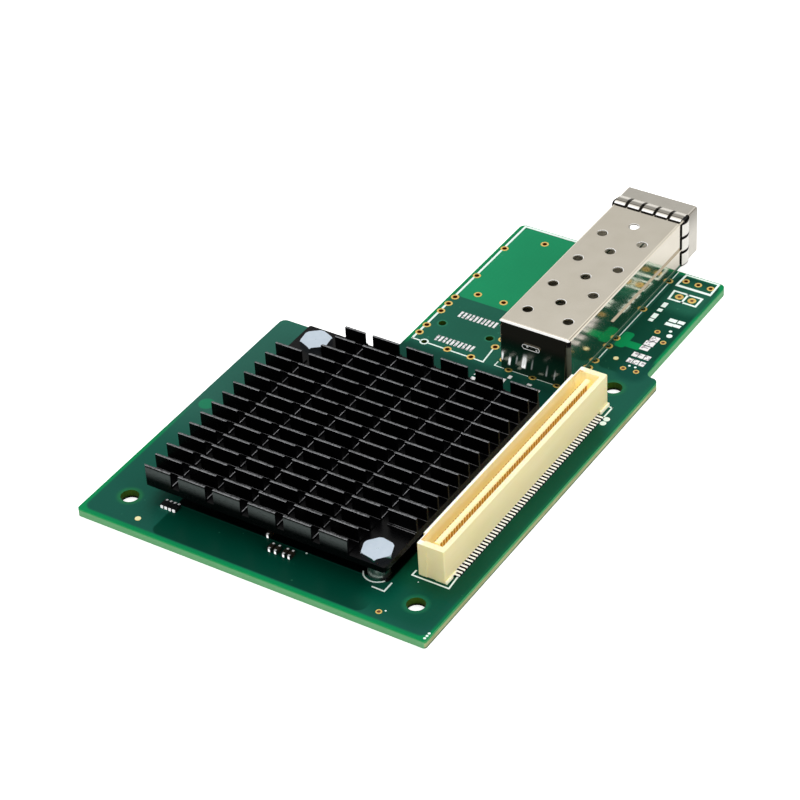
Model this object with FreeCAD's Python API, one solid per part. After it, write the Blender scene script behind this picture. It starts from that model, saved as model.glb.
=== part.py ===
import FreeCAD, Part

import math
import os

# Mezzanine network card. All lengths in mm, +Z up from the board's underside.
# X runs along the front edge, Y towards the port, and the origin is the middle
# of the front pair of mounting holes on the underside.

# Board
board_thickness = 1.6
front_hole_margin = 6.9
side_hole_margin = 5.9
side_hole_gap = 4.8
mounting_hole_diameter = 3.2
small_hole_sides = 9
front_corner_radius = 0.5
back_corner_radius = 1.3
inner_corner_radius = 1.2
right_shoulder_step = 2.7
right_shoulder_margin = 5.7
left_shoulder_gap = 4.1

# Heatsink: thin fins across X, crossed by slots along Y
heatsink_width = 47.1
heatsink_depth = 49.6
heatsink_left_margin = 8.95
heatsink_front_margin = 7.8
heatsink_base = 1.38
fin_height = 2.75
fin_thickness = 0.38
fin_rows = 16
fin_columns = 7
slot_width = 1.6
slot_sink = 0.25
heatsink_back_lip = 0.55
heatsink_corner_radius = 0.4
pocket_length = 9.3
back_pocket_width = 8.2
back_pocket_radius = 4.5

# Screws and soldered spacers that hold the heatsink
standoff_height = 3.03
standoff_diameter = 3.8
standoff_nose_diameter = 2.4
standoff_nose_length = 1.2
standoff_nose_clearance = 0.05
screw_diameter = 2.0
screw_hole_clearance = 0.15
screw_thread_clearance = 0.03
screw_length = 3.6
screw_shank_sides = 12
spacer_sides = 24
spacer_bore_rest = 0.3
screw_head_flats = 5.0
screw_head_height = 0.85
screw_head_bevel = 0.2
screw_a_inset_x = 3.05
screw_a_inset_y = 2.85
screw_b_inset_x = 3.9
screw_b_inset_y = 3.9
screw_a_turn = 50.0
screw_b_turn = 38.0

# Controller and its pad
pad_thickness = 0.5
chip_size = 25.0
chip_substrate_height = 0.9
chip_cap_size = 21.0
chip_corner_bevel = 1.0

# Small parts under the heatsink, with places from the controller's centre
flash_x = -18.2
flash_y = 6.0
flash_width = 3.9
flash_length = 4.9
flash_height = 1.5
flash_lift = 0.15
flash_lead_count = 4
flash_lead_pitch = 1.27
flash_lead_width = 0.42
flash_lead_thickness = 0.2
flash_lead_reach = 1.05
flash_lead_foot = 0.6
crystal_x = -18.2
crystal_y = -6.0
crystal_width = 3.2
crystal_length = 2.5
crystal_height = 0.8
crystal_base_height = 0.3
crystal_lid_inset = 0.2
inductor_x = 17.5
inductor_y = 9.0
inductor_size = 5.4
inductor_height = 2.0
inductor_corner = 0.8
regulator_x = 17.5
regulator_y = 1.2
regulator_size = 4.0
regulator_height = 0.9
regulator_bevel = 0.5
decoupling_count = 5
decoupling_pitch = 3.6
decoupling_gap = 2.4

# Chip parts: capacitors, and the resistor array by the front edge
capacitor_length = 1.6
capacitor_width = 0.8
capacitor_height = 0.75
capacitor_band = 0.35
front_capacitor_margin = 6.2
front_capacitor_x = (0.4, 1.6, 3.2, 4.25)
lone_capacitor_x = -1.8
lone_capacitor_margin = 9.0
array_x = -20.4
array_margin = 7.0
array_length = 3.2
array_width = 1.6
array_height = 0.6
array_terminal_reach = 0.15
array_terminal_height = 0.5
array_terminal_width = 0.45
array_elements = 4

# Mezzanine connector
contact_count = 60
contact_pitch = 0.8
connector_near_end = 2.7
connector_far_end = 3.75
connector_front_margin = 13.25
connector_height = 6.52
heatsink_to_connector = 2.35
connector_to_edge = 4.36
end_block_width = 5.07
long_wall_bulge = 0.37
left_wall = 0.5
right_wall = 0.9
end_wall = 1.2
end_block_length = 2.75
tongue_width = 1.0
tongue_offset = 0.16
tongue_drop = 0.55
tongue_end_gap = 0.9
tongue_edge_bevel = 0.2
connector_floor = 1.5
tail_room = 0.45
foot_length = 3.0
foot_reach = 0.35
foot_height = 0.6
end_groove_width = 1.57
end_groove_offset = 0.09
end_groove_depth = 0.12
connector_edge_bevel = 0.15
contact_thickness = 0.15
contact_width = 0.4
contact_drop = 0.22
contact_slot_clearance = 0.05
tail_reach = 1.05
tail_thickness = 0.2
tail_rise = 0.2
tail_foot = 0.65

# Port cage
sheet = 0.25
cage_width = 14.02
cage_length = 47.2
cage_top = 9.79
cage_lift = 0.25
cage_overhang = 7.1
heatsink_to_cage = 10.9
connector_to_cage = 2.82
cage_bend_radius = 0.5
flap_bottom = 4.1
side_rail_start = 15.2
side_rail_reach = 0.3
seam_gap = 0.05
side_tab_start = 1.5
side_tab_length = 5.0
side_tab_height = 1.2
corner_wrap = 0.6
corner_facets = 4
corner_slit = 0.1
corner_notch_drop = 3.2
corner_hole_width = 1.1
corner_hole_height = 1.2
corner_hole_drop = 0.27
rear_wall_gap = 0.08
rear_tab_length = 3.6
rear_tab_offset = 0.4
rear_tab_height = 1.0
rear_tab_level = 6.0
rear_tab_lift = 0.2
vent_diameter = 1.9
vent_sides = 16
vent_first = 4.9
vent_pitch = 8.95
vent_column_offset = 4.05
vent_end_margin = 12.0
floor_window_length = 12.0
latch_hole_size = 2.6
latch_hole_margin = 8.6
latch_slit = 0.4
latch_width = 4.6

# Cage pins and the plated holes that they go into
pin_hole_diameter = 1.05
pin_outset = 0.115
pin_width = 0.5
pin_jog_gap = 0.1
pin_board_gap = 0.3
side_pin_pitch = 10.0
side_pin_count = 4
left_pin_start = 1.45
right_pin_start = 6.5
short_pin_start = 3.95
short_pin_pitch = 4.9
short_pin_count = 3
rear_pin_offset = 0.65
rear_pin_spacing = 4.85
port_gap = 3.48
neck_margin = 1.15
extra_hole_places = ((-3.85, 16.35), (1.55, 16.35), (-1.25, 36.2))

# Spring collar round the cage's mouth
collar_length = 3.15
collar_sheet = 0.2
finger_length = 2.95
finger_bulge = 0.4
finger_slit = 0.3
top_fingers = 5
side_fingers = 3
collar_corner_margin = 0.05
finger_steps = 5

# Connector inside the cage
port_contact_count = 10
port_contact_pitch = 0.8
port_contact_width = 0.35
port_contact_thickness = 0.2
port_row_offset = 0.4
port_body_start = 2.5
port_body_length = 6.4
port_body_width = 11.6
port_body_height = 5.4
port_nose_length = 1.4
port_slot_width = 9.6
port_slot_height = 1.5
port_slot_level = 2.6
port_slot_depth = 5.0
port_tail = 1.1
port_peg_diameter = 1.4
port_peg_clearance = 0.05
port_peg_span = 9.85
port_peg_offset = 5.7
port_peg_length = 1.2

# Header holes at the neck's back right corner
header_hole_diameter = 0.9
header_hole_pitch = 2.5
header_hole_count = 3
header_side_margin = 2.05
header_back_margin = 2.25

# Places worked out from the sizes above, left to right and front to back
connector_width = end_block_width + long_wall_bulge
board_width = (heatsink_left_margin + heatsink_width + heatsink_to_connector
               + connector_width + connector_to_edge)
board_left = -board_width / 2
board_right = board_width / 2
board_front = -front_hole_margin
top = board_thickness

heatsink_left = board_left + heatsink_left_margin
heatsink_right = heatsink_left + heatsink_width
heatsink_front = board_front + heatsink_front_margin
heatsink_back = heatsink_front + heatsink_depth
heatsink_bottom = top + standoff_height
channel_floor = heatsink_bottom + heatsink_base
heatsink_top = channel_floor + fin_height
pocket_floor = channel_floor - slot_sink
fin_length = (heatsink_width - (fin_columns - 1) * slot_width) / fin_columns
column_pitch = fin_length + slot_width
row_pitch = (heatsink_depth - heatsink_back_lip - fin_thickness) / (fin_rows - 1)

chip_x = (heatsink_left + heatsink_right) / 2
chip_y = (heatsink_front + heatsink_back) / 2
screw_places = (
    (heatsink_right - screw_a_inset_x, heatsink_front + screw_a_inset_y, screw_a_turn),
    (heatsink_left + screw_b_inset_x, heatsink_back - screw_b_inset_y, screw_b_turn),
)

connector_left = heatsink_right + heatsink_to_connector
end_block_left = connector_left + long_wall_bulge
connector_right = end_block_left + end_block_width
connector_front = board_front + connector_front_margin
first_contact = connector_front + connector_near_end
last_contact = first_contact + (contact_count - 1) * contact_pitch
connector_back = last_contact + connector_far_end
tongue_centre = (end_block_left + connector_right) / 2 - tongue_offset
connector_top = top + connector_height
tongue_top = connector_top - tongue_drop

hole_x = board_right - side_hole_margin
side_hole_y = connector_back + side_hole_gap

cage_right = connector_left - connector_to_cage
cage_left = cage_right - cage_width
pin_span = cage_width + 2 * pin_outset
cage_x = (cage_left + cage_right) / 2
cage_rear = heatsink_back + heatsink_to_cage
cage_front = cage_rear + cage_length
cage_bottom = top + cage_lift
cage_roof = top + cage_top
empty_port_x = cage_x - cage_width - port_gap

board_back = cage_front - cage_overhang
left_shoulder = heatsink_back + left_shoulder_gap
right_shoulder = side_hole_y + right_shoulder_margin
neck_left = empty_port_x - pin_span / 2 - neck_margin
neck_right = board_right - right_shoulder_step


def block(x, y, z):
    """Box between the two values of each pair."""
    size = (x[1] - x[0], y[1] - y[0], z[1] - z[0])
    return Part.makeBox(*size, FreeCAD.Vector(x[0], y[0], z[0]))


def prism(outline, push):
    """Flat closed outline of corner points, pushed along a vector."""
    wire = Part.makePolygon(list(outline) + [outline[0]])
    return Part.Face(wire).extrude(FreeCAD.Vector(*push))


def plate(outline, z):
    """Outline of (x, y) points between two heights."""
    return prism([(x, y, z[0]) for x, y in outline], (0, 0, z[1] - z[0]))


def rod(x, y, z, diameter):
    """Upright round bar between two heights."""
    return Part.makeCylinder(diameter / 2, z[1] - z[0], FreeCAD.Vector(x, y, z[0]))


def faceted_rod(x, y, z, diameter, sides):
    """Upright bar of many flat sides, for small round features that repeat often."""
    outline = []
    for n in range(sides):
        angle = 2 * math.pi * n / sides
        outline.append((x + diameter / 2 * math.cos(angle), y + diameter / 2 * math.sin(angle)))
    return plate(outline, z)


def centred(centre, width):
    return (centre - width / 2, centre + width / 2)


def edges_along(shape, direction, keep=lambda point: True):
    """Straight edges of one direction whose middle passes a test."""
    chosen = []
    for edge in shape.Edges:
        if edge.Curve.TypeId != "Part::GeomLine":
            continue
        if abs(edge.tangentAt(edge.FirstParameter).dot(direction)) < 0.999:
            continue
        middle = edge.valueAt((edge.FirstParameter + edge.LastParameter) / 2)
        if keep(middle):
            chosen.append(edge)
    return chosen


UP = FreeCAD.Vector(0, 0, 1)
ALONG_Y = FreeCAD.Vector(0, 1, 0)
ALONG_X = FreeCAD.Vector(1, 0, 0)


def cage_pin_places(centre):
    """Pin places of one cage: two staggered side rows, short pins and the rear row."""
    left = centre - pin_span / 2
    right = centre + pin_span / 2
    sides = [(left, cage_rear + left_pin_start + n * side_pin_pitch) for n in range(side_pin_count)]
    sides += [(right, cage_rear + right_pin_start + n * side_pin_pitch) for n in range(side_pin_count)]
    for n in range(short_pin_count):
        y = cage_rear + short_pin_start + n * short_pin_pitch
        sides += [(left, y), (right, y)]
    rear = [(centre + n * rear_pin_spacing, cage_rear - rear_pin_offset) for n in (-1, 0, 1)]
    return sides, rear


def small_board_holes():
    """Holes for the spacers, cage pins, connector pegs and header as (x, y, diameter)."""
    nose_hole = standoff_nose_diameter + 2 * standoff_nose_clearance
    holes = [(x, y, nose_hole) for x, y, turn in screw_places]
    peg_hole = port_peg_diameter + 2 * port_peg_clearance
    for centre in (cage_x, empty_port_x):
        sides, rear = cage_pin_places(centre)
        holes += [(x, y, pin_hole_diameter) for x, y in sides + rear]
        holes += [(x, cage_rear + port_peg_offset, peg_hole) for x in centred(centre, port_peg_span)]
    holes += [(empty_port_x + x, cage_rear + y, pin_hole_diameter) for x, y in extra_hole_places]
    for n in range(header_hole_count):
        x = neck_right - header_side_margin - n * header_hole_pitch
        holes.append((x, board_back - header_back_margin, header_hole_diameter))
    return holes


def make_board():
    outline = [
        (board_left, board_front), (board_right, board_front),
        (board_right, right_shoulder), (neck_right, right_shoulder),
        (neck_right, board_back), (neck_left, board_back),
        (neck_left, left_shoulder), (board_left, left_shoulder),
    ]
    body = plate(outline, (0, top))

    def inner(point):
        right = abs(point.x - neck_right) < 0.01 and abs(point.y - right_shoulder) < 0.01
        left = abs(point.x - neck_left) < 0.01 and abs(point.y - left_shoulder) < 0.01
        return right or left

    def front(point):
        return abs(point.y - board_front) < 0.01

    body = body.makeFillet(inner_corner_radius, edges_along(body, UP, inner))
    body = body.makeFillet(front_corner_radius, edges_along(body, UP, front))
    corners = [(board_right, right_shoulder), (neck_right, board_back)]
    corners += [(neck_left, board_back), (board_left, left_shoulder)]

    def back(point):
        return any(abs(point.x - x) < 0.01 and abs(point.y - y) < 0.01 for x, y in corners)

    radius = min(back_corner_radius, 0.45 * right_shoulder_step)
    body = body.makeFillet(radius, edges_along(body, UP, back))
    through = (-1, top + 1)
    places = ((-hole_x, 0), (hole_x, 0), (hole_x, side_hole_y))
    drills = [rod(x, y, through, mounting_hole_diameter) for x, y in places]
    for x, y, diameter in small_board_holes():
        drills.append(faceted_rod(x, y, through, diameter, small_hole_sides))
    return body.cut(Part.makeCompound(drills))


def make_heatsink():
    """Extruded fins, cross-cut into pins, with two milled corners for the screws."""
    depth_y = (heatsink_front, heatsink_back)
    slab = block((heatsink_left, heatsink_right), depth_y, (heatsink_bottom, heatsink_top))
    body = slab.makeFillet(heatsink_corner_radius, edges_along(slab, UP))
    cuts = []
    for row in range(fin_rows):
        start = heatsink_front + row * row_pitch + fin_thickness
        end = start + row_pitch - fin_thickness if row < fin_rows - 1 else heatsink_back + 1
        channel_x = (heatsink_left - 1, heatsink_right + 1)
        cuts.append(block(channel_x, (start, end), (channel_floor, heatsink_top + 1)))
    for column in range(fin_columns - 1):
        start = heatsink_left + (column + 1) * column_pitch - slot_width
        x = (start, start + slot_width)
        cuts.append(block(x, (heatsink_front - 1, heatsink_back + 1), (pocket_floor, heatsink_top + 1)))
    depth = (pocket_floor, heatsink_top + 1)
    front_x = (heatsink_right - column_pitch, heatsink_right + 1)
    cuts.append(block(front_x, (heatsink_front - 1, heatsink_front + pocket_length), depth))
    back_x = (heatsink_left - 1, heatsink_left + back_pocket_width)
    back_pocket = block(back_x, (heatsink_back - pocket_length, heatsink_back + 1), depth)

    def deep_corner(point):
        return abs(point.x - back_x[1]) < 0.01 and point.y < heatsink_back

    cuts.append(back_pocket.makeFillet(back_pocket_radius, edges_along(back_pocket, UP, deep_corner)))
    hole = screw_diameter + 2 * screw_hole_clearance
    for x, y, turn in screw_places:
        cuts.append(rod(x, y, (heatsink_bottom - 1, heatsink_top + 1), hole))
    return body.cut(cuts)


def make_screws():
    """Hex-head screws with a bevelled rim, down through the base into the spacers."""
    screws = []
    for x, y, turn in screw_places:
        corner = screw_head_flats / 2 / math.cos(math.radians(30))
        outline = []
        for n in range(6):
            angle = math.radians(turn + 60 * n)
            outline.append((x + corner * math.cos(angle), y + corner * math.sin(angle)))
        head = plate(outline, (pocket_floor, pocket_floor + screw_head_height))
        rim = Part.makeCone(corner + screw_head_height - screw_head_bevel, corner - screw_head_bevel,
                            screw_head_height, FreeCAD.Vector(x, y, pocket_floor))
        length = (pocket_floor - screw_length, pocket_floor)
        shank = faceted_rod(x, y, length, screw_diameter, screw_shank_sides)
        screws.append(head.common(rim).fuse(shank).removeSplitter())
    return screws


def make_standoffs():
    """Turned spacers: a round body with a soldered nose in the board and a blind bore."""
    spacers = []
    nose_bottom = top - standoff_nose_length
    bore_bottom = max(pocket_floor - screw_length, nose_bottom) - spacer_bore_rest
    bore_bottom = max(bore_bottom, nose_bottom + spacer_bore_rest)
    bore = screw_diameter + 2 * screw_thread_clearance
    for x, y, turn in screw_places:
        body = faceted_rod(x, y, (top, heatsink_bottom), standoff_diameter, spacer_sides)
        body = body.fuse(faceted_rod(x, y, (nose_bottom, top), standoff_nose_diameter, small_hole_sides))
        drill = faceted_rod(x, y, (bore_bottom, heatsink_bottom + 1), bore, screw_shank_sides)
        spacers.append(body.cut(drill).removeSplitter())
    return spacers


def make_chip():
    """Ball-grid package: a square substrate with one bevelled corner and a moulded cap."""
    half = chip_size / 2
    outline = [
        (chip_x - half + chip_corner_bevel, chip_y - half), (chip_x + half, chip_y - half),
        (chip_x + half, chip_y + half), (chip_x - half, chip_y + half),
        (chip_x - half, chip_y - half + chip_corner_bevel),
    ]
    substrate = plate(outline, (top, top + chip_substrate_height))
    cap_top = heatsink_bottom - pad_thickness
    cap = block(centred(chip_x, chip_cap_size), centred(chip_y, chip_cap_size),
                (top + chip_substrate_height, cap_top))
    return substrate.fuse(cap).removeSplitter()


def make_pad():
    return block(centred(chip_x, chip_cap_size), centred(chip_y, chip_cap_size),
                 (heatsink_bottom - pad_thickness, heatsink_bottom))


def make_flash():
    """Eight-lead memory: a bevelled body and gull-wing leads from a strip profile."""
    x = chip_x + flash_x
    y = chip_y + flash_y
    low = top + flash_lift
    body = block(centred(x, flash_width), centred(y, flash_length), (low, low + flash_height))
    body = body.makeChamfer(flash_lift, edges_along(body, ALONG_Y, lambda point: point.z > low + flash_lift))
    leads = []
    middle = low + flash_height / 2
    thick = flash_lead_thickness
    for side in (-1, 1):
        wall = x + side * flash_width / 2
        tip = wall + side * flash_lead_reach
        heel = tip - side * flash_lead_foot
        profile = [
            (wall, middle), (heel - side * thick, middle), (heel - side * thick, top),
            (tip, top), (tip, top + thick), (heel, top + thick),
            (heel, middle + thick), (wall, middle + thick),
        ]
        for n in range(flash_lead_count):
            centre = y + (n - (flash_lead_count - 1) / 2) * flash_lead_pitch
            start = centre - flash_lead_width / 2
            leads.append(prism([(px, start, pz) for px, pz in profile], (0, flash_lead_width, 0)))
    return body, leads


def make_crystal():
    """Ceramic base with a seam-welded metal lid."""
    x = centred(chip_x + crystal_x, crystal_width)
    y = centred(chip_y + crystal_y, crystal_length)
    base = block(x, y, (top, top + crystal_base_height))
    lid_x = (x[0] + crystal_lid_inset, x[1] - crystal_lid_inset)
    lid_y = (y[0] + crystal_lid_inset, y[1] - crystal_lid_inset)
    lid = block(lid_x, lid_y, (top + crystal_base_height, top + crystal_height))
    return base.fuse(lid).removeSplitter()


def make_inductor():
    """Moulded power inductor with cut corners."""
    x = centred(chip_x + inductor_x, inductor_size)
    y = centred(chip_y + inductor_y, inductor_size)
    body = block(x, y, (top, top + inductor_height))
    return body.makeChamfer(inductor_corner, edges_along(body, UP))


def make_regulator():
    """Flat leadless regulator with its first corner bevelled."""
    x = centred(chip_x + regulator_x, regulator_size)
    y = centred(chip_y + regulator_y, regulator_size)
    outline = [
        (x[0] + regulator_bevel, y[0]), (x[1], y[0]), (x[1], y[1]), (x[0], y[1]),
        (x[0], y[0] + regulator_bevel),
    ]
    return plate(outline, (top, top + regulator_height))


def make_capacitors(places):
    """Chip capacitors along Y at (x, front y): ceramic bodies and metal end caps."""
    bodies = []
    terminals = []
    for x, y in places:
        span = centred(x, capacitor_width)
        height = (top, top + capacitor_height)
        bodies.append(block(span, (y + capacitor_band, y + capacitor_length - capacitor_band), height))
        terminals.append(block(span, (y, y + capacitor_band), height))
        terminals.append(block(span, (y + capacitor_length - capacitor_band, y + capacitor_length), height))
    return bodies, terminals


def front_capacitor_places():
    row = [(x, board_front + front_capacitor_margin) for x in front_capacitor_x]
    return row + [(lone_capacitor_x, board_front + lone_capacitor_margin)]


def decoupling_places():
    """Two rows of capacitors, in front of and behind the controller."""
    places = []
    for n in range(decoupling_count):
        x = chip_x + (n - (decoupling_count - 1) / 2) * decoupling_pitch
        places.append((x, chip_y - chip_size / 2 - decoupling_gap))
        places.append((x, chip_y + chip_size / 2 + decoupling_gap - capacitor_length))
    return places


def make_resistor_array():
    """Ceramic strip with wrap-round terminals on its two long sides."""
    y = (board_front + array_margin, board_front + array_margin + array_width)
    body = block(centred(array_x, array_length), y, (top, top + array_height))
    pitch = array_length / array_elements
    terminals = []
    for n in range(array_elements):
        x = centred(array_x + (n - (array_elements - 1) / 2) * pitch, array_terminal_width)
        height = (top, top + array_terminal_height)
        terminals.append(block(x, (y[0] - array_terminal_reach, y[0]), height))
        terminals.append(block(x, (y[1], y[1] + array_terminal_reach), height))
    return body, terminals


def make_connector_housing():
    """One moulding: end blocks, thin long walls, a floor and the tongue between the contacts."""
    step_front = connector_front + end_block_length
    step_back = connector_back - end_block_length
    outline = [
        (end_block_left, connector_front), (connector_right, connector_front),
        (connector_right, connector_back), (end_block_left, connector_back),
        (end_block_left, step_back), (connector_left, step_back),
        (connector_left, step_front), (end_block_left, step_front),
    ]
    body = plate(outline, (top, connector_top))

    def end_corner(point):
        return abs(point.y - connector_front) < 0.01 or abs(point.y - connector_back) < 0.01

    body = body.makeChamfer(connector_edge_bevel, edges_along(body, UP, end_corner))
    floor = top + connector_floor
    inside = (connector_front + end_wall, connector_back - end_wall)
    step_in = (step_front + left_wall, step_back - left_wall)
    cavity = [
        (end_block_left + left_wall, inside[0]), (connector_right - right_wall, inside[0]),
        (connector_right - right_wall, inside[1]), (end_block_left + left_wall, inside[1]),
        (end_block_left + left_wall, step_in[1]), (connector_left + left_wall, step_in[1]),
        (connector_left + left_wall, step_in[0]), (end_block_left + left_wall, step_in[0]),
    ]
    body = body.cut(plate(cavity, (floor, connector_top + 1)))
    tongue_y = (inside[0] + tongue_end_gap, inside[1] - tongue_end_gap)
    tongue = block(centred(tongue_centre, tongue_width), tongue_y, (floor, tongue_top))
    rims = edges_along(tongue, ALONG_Y, lambda point: point.z > floor + 1)
    tongue = tongue.makeChamfer(tongue_edge_bevel, rims)
    body = body.fuse(tongue)
    foot_x = (connector_right - right_wall / 2, connector_right + foot_reach)
    feet = []
    for start in (connector_front, connector_back - foot_length):
        feet.append(block(foot_x, (start, start + foot_length), (top, top + foot_height)))
    body = body.fuse(feet)
    row = (first_contact - contact_pitch, last_contact + contact_pitch)
    body = body.cut(block((connector_left - 1, connector_right + 1), row, (top - 1, top + tail_room)))
    slots = []
    for side in (-1, 1):
        face = tongue_centre + side * tongue_width / 2
        far = face + side * (contact_thickness + contact_slot_clearance)
        slots.append(block((min(face, far), max(face, far)), row, (top - 1, floor + 0.5)))
    centre = (end_block_left + connector_right) / 2 - end_groove_offset
    groove_y = (connector_front - 1, connector_front + end_groove_depth)
    groove = block(centred(centre, end_groove_width), groove_y, (top - 1, connector_top - 1))
    return body.cut(slots + [groove]).removeSplitter()


def make_contact_row(side):
    """Contacts on one face of the tongue: a blade, then a sloped tail down to a flat foot."""
    face = tongue_centre + side * tongue_width / 2
    outer = face + side * contact_thickness
    wall = connector_right if side > 0 else connector_left
    tip = wall + side * tail_reach
    blade_top = tongue_top - contact_drop
    heel = tip - side * tail_foot
    bend = top + tail_rise
    profile = [
        (face, bend), (heel, top), (tip, top), (tip, top + tail_thickness), (heel, top + tail_thickness),
        (outer, bend + tail_thickness), (outer, blade_top), (face, blade_top),
    ]
    contacts = []
    for n in range(contact_count):
        start = first_contact + n * contact_pitch - contact_width / 2
        contacts.append(prism([(x, start, z) for x, z in profile], (0, contact_width, 0)))
    return contacts


def vent_places():
    """Vent centres on the roof: two outer columns and a middle one half a pitch on."""
    room = cage_length - vent_end_margin
    places = []
    n = 0
    while vent_first + n * vent_pitch < room:
        y = cage_rear + vent_first + n * vent_pitch
        places += [(cage_x - vent_column_offset, y), (cage_x + vent_column_offset, y)]
        places.append((cage_x, y + vent_pitch / 2))
        n += 1
    return places


def make_cage_cover():
    """Folded cover: roof with vents, side flaps wrapped round the rear corners and a rear flap."""
    outside = block((cage_left, cage_right), (cage_rear, cage_front), (cage_bottom, cage_roof))

    def rear_fold(point):
        return point.z > cage_bottom + 1 and point.y < cage_front - 1

    folds = edges_along(outside, ALONG_Y, rear_fold) + edges_along(outside, ALONG_X, rear_fold)
    outside = outside.makeFillet(cage_bend_radius, folds)
    hollow_x = (cage_left + sheet, cage_right - sheet)
    hollow = block(hollow_x, (cage_rear + sheet, cage_front + 1), (cage_bottom - 1, cage_roof - sheet))
    folds = edges_along(hollow, ALONG_Y, rear_fold) + edges_along(hollow, ALONG_X, rear_fold)
    hollow = hollow.makeFillet(cage_bend_radius - sheet, folds)
    flap = top + flap_bottom
    across = (cage_left - 1, cage_right + 1)
    wrap_y = (cage_rear - 1, cage_rear + corner_wrap)
    upright = (cage_bottom - 1, cage_roof - cage_bend_radius)
    sides = block(across, (wrap_y[1], cage_front + 1), (cage_bottom - 1, flap))
    body = outside.cut([hollow, sides, block(across, wrap_y, upright)])
    body = body.fuse([corner_bend(side) for side in (-1, 1)])
    notch = cage_roof - corner_notch_drop
    cuts = [block(across, wrap_y, (notch - corner_slit, notch))]
    cuts += [corner_hole(side) for side in (-1, 1)]
    for x, y in vent_places():
        cuts.append(faceted_rod(x, y, (cage_roof - 1, cage_roof + 1), vent_diameter, vent_sides))
    rail_y = (cage_rear + side_rail_start, cage_front - collar_length - finger_length)
    rails = []
    for x in ((cage_left - side_rail_reach, cage_left), (cage_right, cage_right + side_rail_reach)):
        rails.append(block(x, rail_y, (flap, flap + sheet)))
    return body.cut(cuts).fuse([make_rear_flap()] + rails).removeSplitter()


def corner_bend(side):
    """Side flap's upright bend round one rear corner, in a few flat steps."""
    corner_x = cage_x + side * cage_width / 2

    def bend(radius, depth):
        points = [(cage_rear + corner_wrap, depth)]
        for n in range(corner_facets + 1):
            angle = math.pi / 2 * n / corner_facets
            along = cage_rear + cage_bend_radius - radius * math.sin(angle)
            points.append((along, cage_bend_radius - radius * math.cos(angle)))
        return points + [(cage_rear + depth, corner_wrap)]

    points = bend(cage_bend_radius, 0) + bend(cage_bend_radius - sheet, sheet)[::-1]
    outline = [(corner_x - side * inward, y) for y, inward in points]
    return plate(outline, (cage_bottom, cage_roof - cage_bend_radius))


def corner_hole(side):
    """Six-sided tool for the relief hole where a rear corner's three folds meet."""
    radius = corner_hole_height / 2
    middle = cage_roof - corner_hole_drop - radius
    outline = []
    for n in range(6):
        angle = math.pi * (n + 0.5) / 3
        reach = corner_hole_width / 2 * math.cos(angle) / math.sqrt(2)
        x = cage_x + side * (cage_width / 2 + cage_bend_radius + reach)
        outline.append((x, cage_rear - cage_bend_radius + reach, middle + radius * math.sin(angle)))
    return prism(outline, (-side * 3 * cage_bend_radius, 3 * cage_bend_radius, 0))


def make_rear_flap():
    """Rear wall, leaning out from the roof's fold to its pins, with a pressed oval tab."""
    fold = cage_roof - cage_bend_radius
    foot = top + rear_wall_gap
    foot_y = cage_rear - rear_pin_offset - sheet / 2
    outline = [(cage_rear, fold), (cage_rear + sheet, fold), (foot_y + sheet, foot), (foot_y, foot)]
    start = cage_left + corner_wrap + corner_slit
    wall = prism([(start, y, z) for y, z in outline], (cage_width - 2 * (corner_wrap + corner_slit), 0, 0))
    lean = math.degrees(math.atan2(cage_rear - foot_y, fold - foot))
    tab = oval(cage_x - rear_tab_offset, top + rear_tab_level, rear_tab_length, rear_tab_height)
    boss = prism_face(tab, cage_rear - rear_tab_lift, sheet)
    dimple = prism_face(tab, cage_rear, sheet)
    for shape in (boss, dimple):
        shape.rotate(FreeCAD.Vector(0, cage_rear, fold), ALONG_X, -lean)
    pins = []
    for x, y in cage_pin_places(cage_x)[1]:
        pins.append(block(centred(x, pin_width), (foot_y, foot_y + sheet), (pin_board_gap, foot)))
    return wall.cut(dimple).fuse([boss] + pins)


def oval(x, z, length, height):
    """Round-ended slot in the XZ plane, drawn at y = 0."""
    radius = height / 2
    flat = length / 2 - radius

    def point(px, pz):
        return FreeCAD.Vector(px, 0, pz)

    edges = []
    for side in (1, -1):
        end = x + side * flat
        low = point(end, z - side * radius)
        high = point(end, z + side * radius)
        edges.append(Part.Arc(low, point(end + side * radius, z), high).toShape())
        edges.append(Part.makeLine(high, point(x - side * flat, z + side * radius)))
    return Part.Face(Part.Wire(edges))


def prism_face(face, y, depth):
    moved = face.translated(FreeCAD.Vector(0, y, 0))
    return moved.extrude(FreeCAD.Vector(0, depth, 0))


def make_side_pins():
    """Press-fit pins jogged out from the side walls' lower edges."""
    sides, rear = cage_pin_places(cage_x)
    pins = []
    for x, y in sides:
        side = 1 if x > cage_x else -1
        inner = cage_x + side * (cage_width / 2 - sheet)
        near = x - side * sheet / 2
        far = near + side * sheet
        low = top + pin_jog_gap
        profile = [
            (inner, low), (near, low), (near, pin_board_gap), (far, pin_board_gap),
            (far, low + sheet), (inner, low + sheet),
        ]
        pins.append(prism([(px, y - pin_width / 2, pz) for px, pz in profile], (0, pin_width, 0)))
    return pins


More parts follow.
